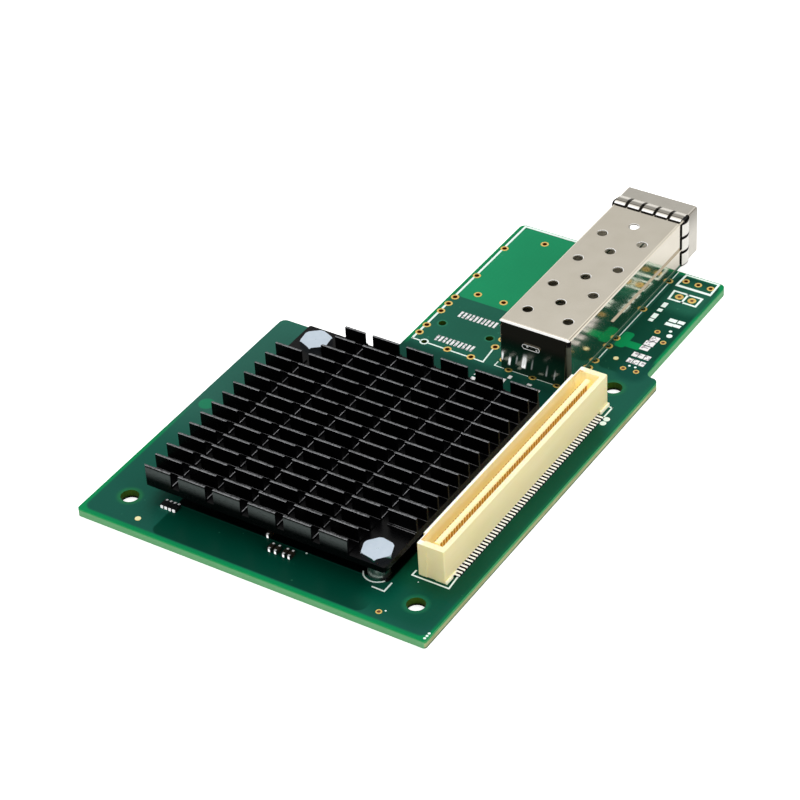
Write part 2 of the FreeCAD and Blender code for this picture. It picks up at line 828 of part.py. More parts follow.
def make_cage_base():
    """Folded base under the cover: floor, low side walls, rear tabs, latch tongue and pins."""
    x = (cage_left, cage_right)
    y = (cage_rear + corner_wrap + seam_gap, cage_front)
    seam = top + flap_bottom - seam_gap
    outside = block(x, y, (cage_bottom, seam))
    inside_x = (x[0] + sheet, x[1] - sheet)
    body = outside.cut(block(inside_x, (y[0] - 1, y[1] + 1), (cage_bottom + sheet, cage_roof)))
    tab_y = (cage_rear + side_tab_start, cage_rear + side_tab_start + side_tab_length)
    tab_z = (seam - side_tab_height, seam + side_tab_height)
    tabs = []
    for tab_x in ((inside_x[0], inside_x[0] + sheet), (inside_x[1] - sheet, inside_x[1])):
        tabs.append(block(tab_x, tab_y, tab_z))
    body = body.fuse(tabs)
    through = (cage_bottom - 1, cage_bottom + sheet + 0.1)
    cuts = [block(inside_x, (y[0] - 1, cage_rear + floor_window_length), through)]
    hole_y = (y[1] - latch_hole_margin, y[1] - latch_hole_margin + latch_hole_size)
    cuts.append(block(centred(cage_x, latch_hole_size), hole_y, through))
    slit_end = hole_y[0] - latch_hole_size
    for side in (-1, 1):
        edge = cage_x + side * latch_width / 2
        cuts.append(block(centred(edge, latch_slit), (slit_end, y[1] + 1), through))
    body = body.cut(cuts)
    return body.fuse(make_side_pins()).removeSplitter()


def finger_profile(start):
    """Side view of one spring finger as (y, height) points: an arched strip in short steps."""
    arch = []
    for n in range(finger_steps + 1):
        along = n / finger_steps
        arch.append((start - along * finger_length, finger_bulge * math.sin(math.pi * along)))
    outer = [(y, height + collar_sheet) for y, height in arch]
    return outer + arch[::-1]


def make_spring():
    """Collar round the cage's mouth with spring fingers that point back along it."""
    start = cage_front - collar_length
    x = (cage_left - collar_sheet, cage_right + collar_sheet)
    outside = block(x, (start, cage_front), (cage_bottom - collar_sheet, cage_roof + collar_sheet))
    outside = outside.makeFillet(cage_bend_radius, edges_along(outside, ALONG_Y))
    inside = block((cage_left, cage_right), (start - 1, cage_front + 1), (cage_bottom, cage_roof))

    def roof_edge(point):
        return point.z > cage_roof - 0.01

    inside = inside.makeFillet(cage_bend_radius, edges_along(inside, ALONG_Y, roof_edge))
    ring = outside.cut(inside)
    height = cage_roof - cage_bottom
    middle = FreeCAD.Vector(cage_x, 0, (cage_roof + cage_bottom) / 2)
    sides = (
        (0, cage_width, height / 2, top_fingers), (90, height, cage_width / 2, side_fingers),
        (180, cage_width, height / 2, top_fingers), (270, height, cage_width / 2, side_fingers),
    )
    fingers = []
    for turn, span, distance, count in sides:
        room = span - 2 * collar_corner_margin
        pitch = room / count
        width = pitch - finger_slit
        for n in range(count):
            offset = -room / 2 + n * pitch + finger_slit / 2
            finger = prism([(0, y, z) for y, z in finger_profile(start)], (width, 0, 0))
            finger.translate(FreeCAD.Vector(offset, 0, distance))
            finger.rotate(FreeCAD.Vector(0, 0, 0), ALONG_Y, turn)
            finger.translate(middle)
            fingers.append(finger)
    return ring.fuse(fingers).removeSplitter()


def port_contact_profiles():
    """Side views of the cage connector's contacts as (y, z) points: lower row, then upper."""
    back = cage_rear + port_body_start
    front = back + port_body_length
    thick = port_contact_thickness
    slot_low = top + port_slot_level
    slot_high = slot_low + port_slot_height
    deep = front - port_slot_depth
    lower = [
        (front, top), (front + port_tail, top), (front + port_tail, top + thick),
        (front + thick, top + thick), (front + thick, slot_low + thick),
        (deep, slot_low + thick), (deep, slot_low), (front, slot_low),
    ]
    upper = [
        (back, top), (back - port_tail, top), (back - port_tail, top + thick),
        (back - thick, top + thick), (back - thick, slot_high),
        (front - thick, slot_high), (front - thick, slot_high - thick), (back, slot_high - thick),
    ]
    return lower, upper


def make_port_contacts(profile, offset):
    contacts = []
    for n in range(port_contact_count):
        centre = cage_x + (n - (port_contact_count - 1) / 2) * port_contact_pitch + offset
        start = centre - port_contact_width / 2
        outline = [(start, y, z) for y, z in profile]
        contacts.append(prism(outline, (port_contact_width, 0, 0)))
    return contacts


def make_port_housing(contacts):
    """Moulded round its contacts: a stepped body with the card slot and two pegs."""
    back = cage_rear + port_body_start
    front = back + port_body_length
    roof = top + port_body_height
    profile = [
        (back, top), (front, top), (front, roof),
        (back + port_nose_length, roof), (back, roof - port_nose_length),
    ]
    x = centred(cage_x, port_body_width)
    body = prism([(x[0], y, z) for y, z in profile], (port_body_width, 0, 0))
    slot_low = top + port_slot_level
    slot = block(centred(cage_x, port_slot_width), (front - port_slot_depth, front + 1),
                 (slot_low, slot_low + port_slot_height))
    body = body.cut(slot)
    pegs = []
    peg_y = cage_rear + port_peg_offset
    span = (top - port_peg_length, top + port_contact_thickness)
    for peg_x in centred(cage_x, port_peg_span):
        pegs.append(faceted_rod(peg_x, peg_y, span, port_peg_diameter, small_hole_sides))
    return body.fuse(pegs).cut(contacts).removeSplitter()


def save(name, shapes):
    """One part file: a single solid, or a group of separate ones."""
    solids = []
    for shape in shapes if isinstance(shapes, list) else [shapes]:
        solids += shape.Solids
    shape = solids[0] if len(solids) == 1 else Part.makeCompound(solids)
    shape.exportStep(os.path.join("parts", name + ".step"))


os.makedirs("parts", exist_ok=True)

save("board", make_board())
save("heatsink", make_heatsink())
save("heatsink_bolts", make_screws())
save("heatsink_standoffs", make_standoffs())
save("network_chip", make_chip())
save("thermal_pad", make_pad())
flash_body, flash_leads = make_flash()
save("flash_chip_body", flash_body)
save("flash_chip_leads", flash_leads)
save("clock_crystal", make_crystal())
save("power_inductor", make_inductor())
save("regulator_chip", make_regulator())
front_bodies, front_terminals = make_capacitors(front_capacitor_places())
save("capacitor_bodies", front_bodies)
save("capacitor_terminals", front_terminals)
decoupling_bodies, decoupling_terminals = make_capacitors(decoupling_places())
save("decoupling_capacitor_bodies", decoupling_bodies)
save("decoupling_capacitor_terminals", decoupling_terminals)
array_body, array_terminals = make_resistor_array()
save("resistor_array_body", array_body)
save("resistor_array_terminals", array_terminals)
save("mezzanine_connector_housing", make_connector_housing())
save("mezzanine_contacts_outer", make_contact_row(1))
save("mezzanine_contacts_inner", make_contact_row(-1))
save("cage_cover", make_cage_cover())
save("cage_base", make_cage_base())
save("emi_spring", make_spring())
lower_profile, upper_profile = port_contact_profiles()
lower_contacts = make_port_contacts(lower_profile, port_row_offset / 2)
upper_contacts = make_port_contacts(upper_profile, -port_row_offset / 2)
save("port_contacts_lower", lower_contacts)
save("port_contacts_upper", upper_contacts)
save("port_connector_housing", make_port_housing(lower_contacts + upper_contacts))
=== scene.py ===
import math

import bmesh
import bpy
from mathutils import Matrix, Vector


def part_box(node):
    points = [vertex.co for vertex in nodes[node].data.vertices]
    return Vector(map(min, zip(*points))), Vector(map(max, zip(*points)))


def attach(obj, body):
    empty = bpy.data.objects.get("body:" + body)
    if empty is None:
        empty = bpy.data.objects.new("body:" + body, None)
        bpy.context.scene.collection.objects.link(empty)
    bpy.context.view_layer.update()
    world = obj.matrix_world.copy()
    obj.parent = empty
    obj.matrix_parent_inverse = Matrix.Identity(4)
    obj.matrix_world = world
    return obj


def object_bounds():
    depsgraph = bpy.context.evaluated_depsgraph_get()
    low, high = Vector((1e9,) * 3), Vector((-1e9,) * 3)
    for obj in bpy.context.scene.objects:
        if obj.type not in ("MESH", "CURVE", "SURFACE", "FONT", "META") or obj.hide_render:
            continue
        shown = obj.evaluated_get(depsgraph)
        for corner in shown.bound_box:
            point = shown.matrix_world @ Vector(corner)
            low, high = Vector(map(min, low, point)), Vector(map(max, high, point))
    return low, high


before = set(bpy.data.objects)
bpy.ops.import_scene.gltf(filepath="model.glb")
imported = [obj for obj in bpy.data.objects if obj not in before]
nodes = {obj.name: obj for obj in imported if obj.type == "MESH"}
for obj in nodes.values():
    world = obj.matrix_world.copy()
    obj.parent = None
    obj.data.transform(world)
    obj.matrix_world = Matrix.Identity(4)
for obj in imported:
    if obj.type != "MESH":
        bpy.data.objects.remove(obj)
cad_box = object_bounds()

# Photographer's table: the card lies on plain white paper, with a white surround behind it.
# A large cloth-covered lamp hangs over the card, a weaker one stands to its right,
# and the camera looks down on the card's front right corner through a long lens.
mm = 0.001
lens_mm = 129.0
film_mm = 36.0
camera_place = (220.1, -283.7, 301.5)
camera_turn, camera_rise, camera_roll = 34.18, 37.12, 3.41


def linear(text):
    """Turns an sRGB hex colour into the linear colour that a shader takes."""
    values = [int(text[n:n + 2], 16) / 255 for n in (1, 3, 5)]
    return [v / 12.92 if v <= 0.04045 else ((v + 0.055) / 1.055) ** 2.4 for v in values] + [1]


def plug(tree, value, socket):
    """Fills a socket: a node or an output is linked, a hex colour or a number is set."""
    if isinstance(value, bpy.types.Node):
        value = next(output for output in value.outputs if output.enabled)
    if isinstance(value, bpy.types.NodeSocket):
        tree.links.new(value, socket)
    else:
        socket.default_value = linear(value) if isinstance(value, str) else value


def add(tree, kind, *values, **named):
    """Adds a node. Values fill its open sockets in order; a named one is a setting or a socket."""
    node = tree.nodes.new("ShaderNode" + kind)
    for name, value in named.items():
        if hasattr(node, name):
            setattr(node, name, value)
        else:
            plug(tree, value, node.inputs[name])
    for value, socket in zip(values, [socket for socket in node.inputs if socket.enabled]):
        plug(tree, value, socket)
    return node


# Settings that many nodes share: a mix of colours, and a change that eases in and out
colours = {"data_type": "RGBA"}
eased = {"interpolation_type": "SMOOTHSTEP"}

camera_data = bpy.data.cameras.new("camera")
camera_data.lens = lens_mm
camera_data.sensor_width = film_mm
camera_data.clip_start = 0.01
camera_data.clip_end = 20
camera = bpy.data.objects.new("camera", camera_data)
camera.matrix_world = (
    Matrix.Translation(Vector(camera_place) * mm)
    @ Matrix.Rotation(math.radians(camera_turn), 4, "Z")
    @ Matrix.Rotation(math.radians(90 - camera_rise), 4, "X")
    @ Matrix.Rotation(math.radians(-camera_roll), 4, "Z")
)
bpy.context.scene.collection.objects.link(camera)
bpy.context.scene.camera = camera
bpy.context.scene.view_settings.view_transform = "Standard"

lamps = {
    "overhead_lamp": {"place": (-0.15, 0.35, 0.75), "size": 0.7, "watts": 3.7},
    "right_lamp": {"place": (0.8, -0.1, 0.45), "size": 0.5, "watts": 2.1},
    "front_lamp": {"place": (0.1, -0.9, 0.3), "size": 0.5, "watts": 1.9},
}
card_middle = Vector((0, 0.045, 0))
for name, lamp in lamps.items():
    light = bpy.data.lights.new(name, "AREA")
    light.shape = "DISK"
    light.size = lamp["size"]
    light.energy = lamp["watts"]
    stand = bpy.data.objects.new(name, light)
    place = Vector(lamp["place"])
    aim = (card_middle - place).to_track_quat("-Z", "Y")
    stand.matrix_world = Matrix.Translation(place) @ aim.to_matrix().to_4x4()
    stand.visible_camera = False
    stand.visible_glossy = False
    bpy.context.scene.collection.objects.link(stand)

# White surround for the camera and for mirrors, with an unlit ceiling part way up towards
# the back, brightest straight overhead, and a plain fill for the rest
world = bpy.data.worlds.new("white surround")
bpy.context.scene.world = world
world.use_nodes = True
tree = world.node_tree
tree.nodes.clear()
path = add(tree, "LightPath")
seen = add(tree, "Math", path.outputs["Is Camera Ray"], path.outputs["Is Transmission Ray"],
           operation="MAXIMUM")
place = add(tree, "TexCoord")
height = add(tree, "SeparateXYZ", place.outputs["Generated"])
band = add(tree, "Math", height.outputs["Z"], 0.50, operation="SUBTRACT")
band = add(tree, "Math", band, operation="ABSOLUTE")
band = add(tree, "MapRange", band, 0.0, 0.25, 0.45, 0.0, **eased)
back = add(tree, "MapRange", height.outputs["Y"], -0.4, 0.4, 0.35, 1.0, **eased)
ceiling = add(tree, "Math", band, back, operation="MULTIPLY")
above = add(tree, "MapRange", height.outputs["Z"], 0.65, 0.9, 1.0, 1.25, **eased)
overhead = add(tree, "Math", above, ceiling, operation="SUBTRACT")
fill = add(tree, "Background", "#FFFFFF", 0.52)
mirrored = add(tree, "Background", "#FFFEFB", overhead)
white = add(tree, "Background", "#FFFFFF", 1.0)
lit = add(tree, "MixShader", path.outputs["Is Glossy Ray"], fill, mirrored)
shown = add(tree, "MixShader", seen, lit, white)
add(tree, "OutputWorld", shown)

# Paper: its own white plus a little glow to the camera, which leaves the card's shadow in it
paper = bpy.data.materials.new("white background paper")
paper.use_nodes = True
tree = paper.node_tree
tree.nodes.clear()
path = add(tree, "LightPath")
seen = add(tree, "Math", path.outputs["Is Camera Ray"], path.outputs["Is Transmission Ray"],
           operation="MAXIMUM")
seen = add(tree, "Math", seen, path.outputs["Is Glossy Ray"], operation="MAXIMUM")
grain = add(tree, "TexNoise", Scale=900.0, Detail=2.0)
tone = add(tree, "Mix", grain, "#E6E6E5", "#ECECEB", **colours)
sheet = add(tree, "BsdfDiffuse", tone)
gain = add(tree, "MapRange", path.outputs["Is Glossy Ray"], 0, 1, 0.72, 0.06)
glow = add(tree, "Emission", "#FFFFFF", gain)
both = add(tree, "AddShader", sheet, glow)
shown = add(tree, "MixShader", seen, sheet, both)
add(tree, "OutputMaterial", shown)
bm = bmesh.new()
bmesh.ops.create_grid(bm, x_segments=2, y_segments=2, size=3.0)
bmesh.ops.translate(bm, verts=bm.verts, vec=(0, 0, cad_box[0][2] - 0.03 * mm))
floor_mesh = bpy.data.meshes.new("floor")
bm.to_mesh(floor_mesh)
bm.free()
floor_mesh.materials.append(paper)
floor = bpy.data.objects.new("floor", floor_mesh)
bpy.context.scene.collection.objects.link(floor)

# Board: 1.6 mm glass-epoxy laminate under green solder mask. The mask looks pale green at
# the bare rim, blue-green over the copper pours and darkest where inner planes lie below.
# It was routed to outline, so its sides show the yellow-green glass layers.
board_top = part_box("board")[1].z
mask_rim = "#06844E"
laminate = "#7CB685"
ground_pour = (0.1, 23.8, 33.2, 29.6, 1.2, 0.6, "#165446")
neck_pour = (9.9, 80.4, 20.2, 20.0, 1.2, 0.8, "#1E5D4B")
pours = (
    # middle x, y, half width, half depth, corner radius, softness, colour
    ground_pour,
    # painted reflection: the left side of the mask lightens towards the back
    (-29.5, 40.0, 3.2, 12.0, 2.0, 16.0, "#2A5F52"),
    (11.4, 61.0, 21.6, 8.4, 1.2, 0.6, "#185646"),
    neck_pour,
    (28.2, 62.0, 4.6, 10.0, 2.0, 3.0, "#175646"),
    (0.9, -2.0, 20.6, 3.75, 1.4, 0.4, "#00392B"),
    (26.6, 1.4, 5.0, 4.6, 2.0, 4.0, "#054A39"),
    (27.0, 29.0, 5.6, 24.0, 3.0, 4.0, "#0A4832"),
    # painted shade: the board just behind the heatsink, also seen mirrored in the cage's rear wall
    (-0.1, 54.5, 24.0, 3.8, 2.0, 3.0, "#0A4034"),
    (26.6, 84.8, 4.0, 15.4, 1.2, 0.7, "#014030"),
    (28.9, 71.4, 1.6, 2.6, 1.0, 2.0, "#08463A"),
    (27.4, 94.6, 2.4, 3.2, 1.0, 3.0, "#1B5A46"),
    (-3.0, 88.2, 7.1, 12.4, 1.2, 0.15, "#1A8A5C"),
    (23.1, 78.2, 0.9, 2.3, 0.6, 0.2, "#008A50"),
    (25.1, 77.4, 1.7, 0.8, 0.6, 0.25, "#008A50"),
    (-31.6, 27.1, 1.25, 1.25, 1.25, 0.4, "#237C5A"),
    (-28.2, 0.0, 1.75, 1.75, 1.75, 0.9, "#1F6A44"),
    (28.2, 0.0, 1.75, 1.75, 1.75, 0.9, "#166244"),
    (28.2, 64.8, 1.75, 1.75, 1.75, 0.9, "#1F6544"),
    (-7.95, 67.1, 0.75, 0.75, 0.75, 0.4, "#2E7A5C"),
    (1.9, 67.1, 0.75, 0.75, 0.75, 0.4, "#2E7A5C"),
    # painted shade: a black strip under the connector's tails, dark between them
    (30.15, 32.6, 0.72, 23.9, 0.2, 0.1, "#010302"),
    # under the heatsink, in its shade
    (0.8, 26.4, 20.6, 24.1, 0.6, 0.4, "#010403"),
    (-10.0, 28.0, 12.5, 22.0, 1.0, 2.5, "#010403"),
)


def shade(name):
    """New material with its tree, its principled shader and object coordinates in mm."""
    material = bpy.data.materials.new(name)
    material.use_nodes = True
    tree = material.node_tree
    shader = tree.nodes["Principled BSDF"]
    place = add(tree, "TexCoord")
    card = add(tree, "VectorMath", place.outputs["Object"], 1000.0, operation="SCALE")
    return material, tree, shader, card


def finish(shader, **values):
    """Fills the shader's own sockets, each named with _ for a space."""
    for name, value in values.items():
        plug(shader.id_data, value, shader.inputs[name.replace("_", " ")])


def dress(node, material):
    """Gives a CAD node its finish through its material slots."""
    for slot in nodes[node].material_slots:
        slot.material = material


pour_group = bpy.data.node_groups.new("rounded pour", "ShaderNodeTree")
pour_sockets = {
    "Place": "Vector", "Middle": "Vector", "Half size": "Vector", "Radius": "Float", "Softness": "Float",
}
for name, kind in pour_sockets.items():
    pour_group.interface.new_socket(name, in_out="INPUT", socket_type="NodeSocket" + kind)
pour_group.interface.new_socket("Inside", in_out="OUTPUT", socket_type="NodeSocketFloat")
given = pour_group.nodes.new("NodeGroupInput")
away = add(pour_group, "VectorMath", given.outputs["Place"], given.outputs["Middle"],
           operation="SUBTRACT")
away = add(pour_group, "VectorMath", away, operation="ABSOLUTE")
away = add(pour_group, "VectorMath", away, given.outputs["Half size"], operation="SUBTRACT")
away = add(pour_group, "VectorMath", away, given.outputs["Radius"], operation="ADD")
flat = add(pour_group, "VectorMath", away, (1, 1, 0), operation="MULTIPLY")
outside = add(pour_group, "VectorMath", flat, (0, 0, 0), operation="MAXIMUM")
reach = add(pour_group, "VectorMath", outside, operation="LENGTH")
edge = add(pour_group, "Math", reach, given.outputs["Radius"], operation="SUBTRACT")
inside = add(pour_group, "MapRange", edge, 0.0, given.outputs["Softness"], 1.0, 0.0, **eased)
result = pour_group.nodes.new("NodeGroupOutput")
plug(pour_group, inside, result.inputs["Inside"])


def inside_pour(tree, card, pour):
    """1 inside one rounded pour and 0 outside it."""
    x, y, half_x, half_y, radius, softness = pour[:6]
    return add(tree, "Group", card, (x, y, 0), (half_x, half_y, 0), radius, softness,
               node_tree=pour_group)


mask_material, tree, shader, card = shade("green solder mask on glass-epoxy")
colour = mask_rim
for pour in pours:
    colour = add(tree, "Mix", inside_pour(tree, card, pour), colour, pour[-1], **colours)
# Glass cloth under the mask, 0.9 mm between threads, and a slow change of the ink's depth
weave = add(tree, "TexWave", card, 0.35, 0.4, 1.0, bands_direction="X")
cross = add(tree, "TexWave", card, 0.35, 0.4, 1.0, bands_direction="Y")
cloth = add(tree, "Math", weave.outputs["Fac"], cross.outputs["Fac"], operation="MULTIPLY")
ink = add(tree, "TexNoise", card, 0.06, 3.0)
depth = add(tree, "Math", cloth, 0.10, ink, operation="MULTIPLY_ADD")
depth = add(tree, "MapRange", depth, 0.3, 0.8, 0.92, 1.08)
colour = add(tree, "VectorMath", colour, depth, operation="SCALE")
# Small flecks: filled vias and dust under the ink
fleck = add(tree, "TexVoronoi", card, 0.4)
fleck = add(tree, "MapRange", fleck, 0.05, 0.11, 1.0, 0.0, **eased)
pick = add(tree, "TexNoise", card, 0.3, 1.0)
pick = add(tree, "Math", pick, 0.55, operation="GREATER_THAN")
fleck = add(tree, "Math", fleck, pick, operation="MULTIPLY")
fleck = add(tree, "Math", fleck, 0.25, operation="MULTIPLY")
colour = add(tree, "Mix", fleck, colour, "#4E9A78", **colours)
# Sides: glass layers as fine level lines, greener near the mask, straw-coloured where the
# router left the right-hand side rough; the walls of the holes carry painted shade, black low down and olive
# higher up
pressed = add(tree, "VectorMath", card, (0.15, 0.15, 9.0), operation="MULTIPLY")
layers = add(tree, "TexNoise", pressed, 1.0, 4.0)
along, upright = add(tree, "SeparateXYZ", card).outputs[1:]
facing = add(tree, "SeparateXYZ", add(tree, "NewGeometry").outputs["True Normal"]).outputs
side = add(tree, "Mix", layers, "#60A670", laminate, **colours)
side = add(tree, "Mix", add(tree, "MapRange", upright, 1.1, 1.5, **eased), side, "#1C9A54", **colours)
straw = add(tree, "Mix", add(tree, "MapRange", layers, 0.35, 0.65, **eased), "#8F8E60", "#BCC894",
            **colours)
straw = add(tree, "Mix", add(tree, "MapRange", upright, 0.12, 0.4, **eased), "#4C6A50", straw, **colours)
straw = add(tree, "Mix", add(tree, "MapRange", upright, 0.8, 1.3, **eased), straw, "#389A5C", **colours)
right = add(tree, "Math", add(tree, "Math", facing["X"], 0.5, operation="GREATER_THAN"),
            add(tree, "Math", along, 70.6, operation="LESS_THAN"), operation="MULTIPLY")
side = add(tree, "Mix", right, side, straw, **colours)
hole = add(tree, "Math", inside_pour(tree, card, ground_pour), inside_pour(tree, card, neck_pour),
           operation="MAXIMUM")
# Painted shade down the hole walls: olive at the top, black at the bottom
wall = add(tree, "Mix", add(tree, "MapRange", upright, 0.1, 0.7, **eased), "#030602", "#375512",
           **colours)
side = add(tree, "Mix", hole, side, wall, **colours)
level = add(tree, "Math", facing["Z"], operation="ABSOLUTE")
level = add(tree, "Math", level, 0.5, operation="GREATER_THAN")
tone = add(tree, "Mix", level, side, colour, **colours)
rough = add(tree, "MapRange", ink, 0, 1, 0.24, 0.34)
grain = add(tree, "TexNoise", card, 9.0, 2.0)
bump = add(tree, "Bump", Strength=0.04, Distance=0.0001, Height=grain)
finish(shader, Base_Color=tone, Roughness=rough, Specular_IOR_Level=0.045, Normal=bump)
dress("board", mask_material)

# Plated holes: copper barrels with a ring at each end, gold over nickel. They take the
# cages' press-fit pins, the port connector's earth pins and the header.
ring_width = 0.27
ring_height = 0.03
barrel_wall = 0.04
hole_radius = 0.49
header_radius = 0.42
base_low, base_high = (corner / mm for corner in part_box("cage_base"))
cage_middle = (base_low.x + base_high.x) / 2
cage_rear = base_low.y - 0.65
pin_reach = 7.125
empty_port = cage_middle - 17.5
top = board_top / mm


def solid(bm, name, material):
    """Makes a bmesh, drawn in mm, an object of the card with one finish."""
    bmesh.ops.scale(bm, verts=bm.verts, vec=(mm, mm, mm))
    bmesh.ops.recalc_face_normals(bm, faces=bm.faces)
    mesh = bpy.data.meshes.new(name)
    bm.to_mesh(mesh)
    bm.free()
    mesh.materials.append(material)
    piece = bpy.data.objects.new(name, mesh)
    bpy.context.scene.collection.objects.link(piece)
    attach(piece, "root")
    return piece


def turned(bm, x, y, profile, steps):
    """Spins a closed profile of (radius, height) points round an upright axis."""
    points = [bm.verts.new((x + radius, y, z)) for radius, z in profile]
    edges = [bm.edges.new((points[n - 1], points[n])) for n in range(len(points))]
    bmesh.ops.spin(bm, geom=points + edges, cent=(x, y, 0), axis=(0, 0, 1), angle=2 * math.pi,
                   steps=steps, use_merge=True)


def port_holes(middle):
    """Pin places of one port's footprint: two sides, short pins and the rear row."""
    places = []
    for n in range(4):
        places.append((middle - pin_reach, cage_rear + 1.45 + 10 * n))
        places.append((middle + pin_reach, cage_rear + 6.5 + 10 * n))
    for n in range(3):
        places.append((middle - pin_reach, cage_rear + 3.95 + 4.9 * n))
        places.append((middle + pin_reach, cage_rear + 3.95 + 4.9 * n))
        places.append((middle + 4.85 * (n - 1), cage_rear - 0.65))
    return places


# One hole of the empty port's rear row has only a printed ring
bare_place = (empty_port - 4.85, cage_rear - 0.65)
port_places = port_holes(cage_middle) + port_holes(empty_port)
port_places = [place for place in port_places if (Vector(place) - Vector(bare_place)).length > 0.1]
port_places += [(empty_port + x, cage_rear + y) for x, y in ((-3.85, 16.35), (1.55, 16.35), (-1.25, 36.2))]
header_places = [(29.35 - 2.5 * n, 99.25) for n in range(3)]
bm = bmesh.new()
for places, radius in ((port_places, hole_radius), (header_places, header_radius)):
    outer = radius + ring_width
    inner = radius - barrel_wall
    profile = (
        (inner, -0.01), (outer, -0.01), (outer, 0.0), (radius, 0.0),
        (radius, top), (outer, top), (outer, top + ring_height * 0.6), (outer - 0.05, top + ring_height),
        (inner, top + ring_height),
    )
    for x, y in places:
        turned(bm, x, y, profile, 20)
gold_material, tree, shader, card = shade("electroless nickel immersion gold")
wear = add(tree, "TexNoise", card, 2.5, 3.0)
tone = add(tree, "Mix", wear, "#DBA63E", "#F8E08E", **colours)
# Inside the barrels light turns amber from wall to wall
height = add(tree, "SeparateXYZ", card)
barrel = add(tree, "Math", height.outputs["Z"], top - 0.02, operation="LESS_THAN")
tone = add(tree, "Mix", barrel, tone, "#9A4A14", **colours)
fresh = add(tree, "Math", height.outputs["Z"], top + 0.035, operation="GREATER_THAN")
tone = add(tree, "Mix", fresh, tone, "#FBF3BC", **colours)
rough = add(tree, "MapRange", wear, 0, 1, 0.35, 0.5)
finish(shader, Base_Color=tone, Metallic=0.7, Roughness=rough)
solid(bm, "plated_holes", gold_material)

# Small vias and round test pads, the same plating: a ring round a dark filled middle,
# or a plain disc. They are part of the board's copper.
via_places = ((27.14, 83.0), (29.55, 80.6), (26.95, 70.6), (29.46, 70.75), (23.96, -4.38))
pad_places = ((24.46, 72.6, 0.5), (-23.47, -4.17, 0.55))
jumper_places = ((25.54, 94.37), (28.11, 94.33))
bm = bmesh.new()
for x, y in via_places:
    turned(bm, x, y, ((0.32, top), (0.56, top), (0.53, top + 0.03), (0.34, top + 0.03)), 16)
for x, y in jumper_places:
    turned(bm, x, y, ((0.32, top), (0.8, top), (0.77, top + 0.03), (0.34, top + 0.03)), 20)
for x, y, radius in pad_places:
    bmesh.ops.create_cone(bm, cap_ends=True, segments=20, radius1=radius, radius2=radius - 0.03, depth=0.04,
                          matrix=Matrix.Translation((x, y, top + 0.02)))
solid(bm, "vias_and_test_pads", gold_material)
bm = bmesh.new()
for places, radius in ((via_places, 0.33), (jumper_places, 0.34)):
    for x, y in places:
        bmesh.ops.create_cone(bm, cap_ends=True, segments=16, radius1=radius, radius2=radius - 0.1,
                              depth=0.02, matrix=Matrix.Translation((x, y, top + 0.005)))
fill_material, tree, shader, card = shade("brown resin in the vias")
speck = add(tree, "TexNoise", card, 4.0, 2.0)
tone = add(tree, "Mix", speck, "#2E1608", "#7A3C12", **colours)
finish(shader, Base_Color=tone, Roughness=0.5)
solid(bm, "via_resin", fill_material)

# White legend: epoxy ink printed on the mask, 0.03 mm thick. It frames the two port
# places, the header, the jumper and the connector. Where the real card has lettering
# there are plain bars and dots.
ink_height = 0.025


def bar(bm, start, end, width, low, high):
    """Straight bar between two (x, y) points."""
    start, end = Vector(start), Vector(end)
    along = end - start
    middle = (start + end) / 2
    turn = Matrix.Rotation(math.atan2(along.y, along.x), 4, "Z")
    size = Matrix.Diagonal((along.length, width, high - low, 1))
    place = Matrix.Translation((middle.x, middle.y, (low + high) / 2))
    bmesh.ops.create_cube(bm, size=1, matrix=place @ turn @ size)


def path_bars(bm, points, width, low, high):
    """Bars along a path, long enough to close its corners, every other one a trace higher."""
    for n, (start, end) in enumerate(zip(points, points[1:])):
        along = (Vector(end) - Vector(start)).normalized() * width / 2
        bar(bm, Vector(start) - along, Vector(end) + along, width, low, high + 0.003 * (n % 2))


bm = bmesh.new()
ink = (top - 0.005, top + ink_height)
outlines = {
    # line width: paths of (x, y) points
    0.6: (
        ((23.5, 97.45), (30.1, 97.45)),
    ),
    0.42: (
        ((-10.35, 60.95), (-10.35, 62.0)), ((-10.35, 63.7), (-10.35, 64.4)), ((-10.35, 66.3), (-10.35, 69.3)),
        ((-10.35, 71.2), (-10.35, 71.9)), ((-10.35, 76.1), (-10.35, 81.9)),
        ((-10.35, 83.8), (-10.35, 91.9)), ((-10.35, 93.8), (-10.35, 101.0), (6.8, 101.0)),
        ((23.4, 97.96), (23.5, 101.1), (30.1, 101.1), (30.2, 97.96)),
        ((24.1, 93.0), (29.5, 93.0), (29.5, 95.65), (23.9, 95.65), (24.1, 93.0)),
        ((26.7, 93.0), (26.7, 95.65)),
    ),
    0.3: (
        ((-10.4, 60.75), (-8.7, 60.72)), ((-7.0, 60.7), (-3.9, 60.65)), ((-2.15, 60.62), (0.95, 60.58)),
        ((2.7, 60.55), (4.45, 60.5), (4.1, 64.4)),
        ((19.85, 0.2), (22.1, 0.15), (22.1, 2.35)),
        ((23.9, 6.9), (23.9, 5.7), (30.8, 5.7), (30.55, 9.1)),
        ((30.8, 59.65), (30.8, 56.9)), ((30.8, 59.65), (30.3, 59.7)),
    ),
    0.2: (
        ((-9.8, 101.25), (6.8, 101.25)),
        ((6.75, 61.8), (6.75, 60.6), (8.6, 60.6)), ((10.5, 60.6), (13.5, 60.6)), ((15.4, 60.6), (18.4, 60.6)),
        ((20.3, 60.6), (21.75, 60.6), (21.8, 64.5)), ((21.8, 66.2), (21.8, 67.0)),
        ((21.8, 71.2), (21.8, 74.2)),
        ((21.8, 78.8), (21.8, 87.0)), ((21.8, 88.8), (21.8, 97.0)), ((21.8, 98.9), (21.8, 101.2)),
    ),
}
for width, paths in outlines.items():
    for points in paths:
        path_bars(bm, points, width, *ink)
arc_middle, arc_radius = (18.8, 3.7), 2.5
arc = []
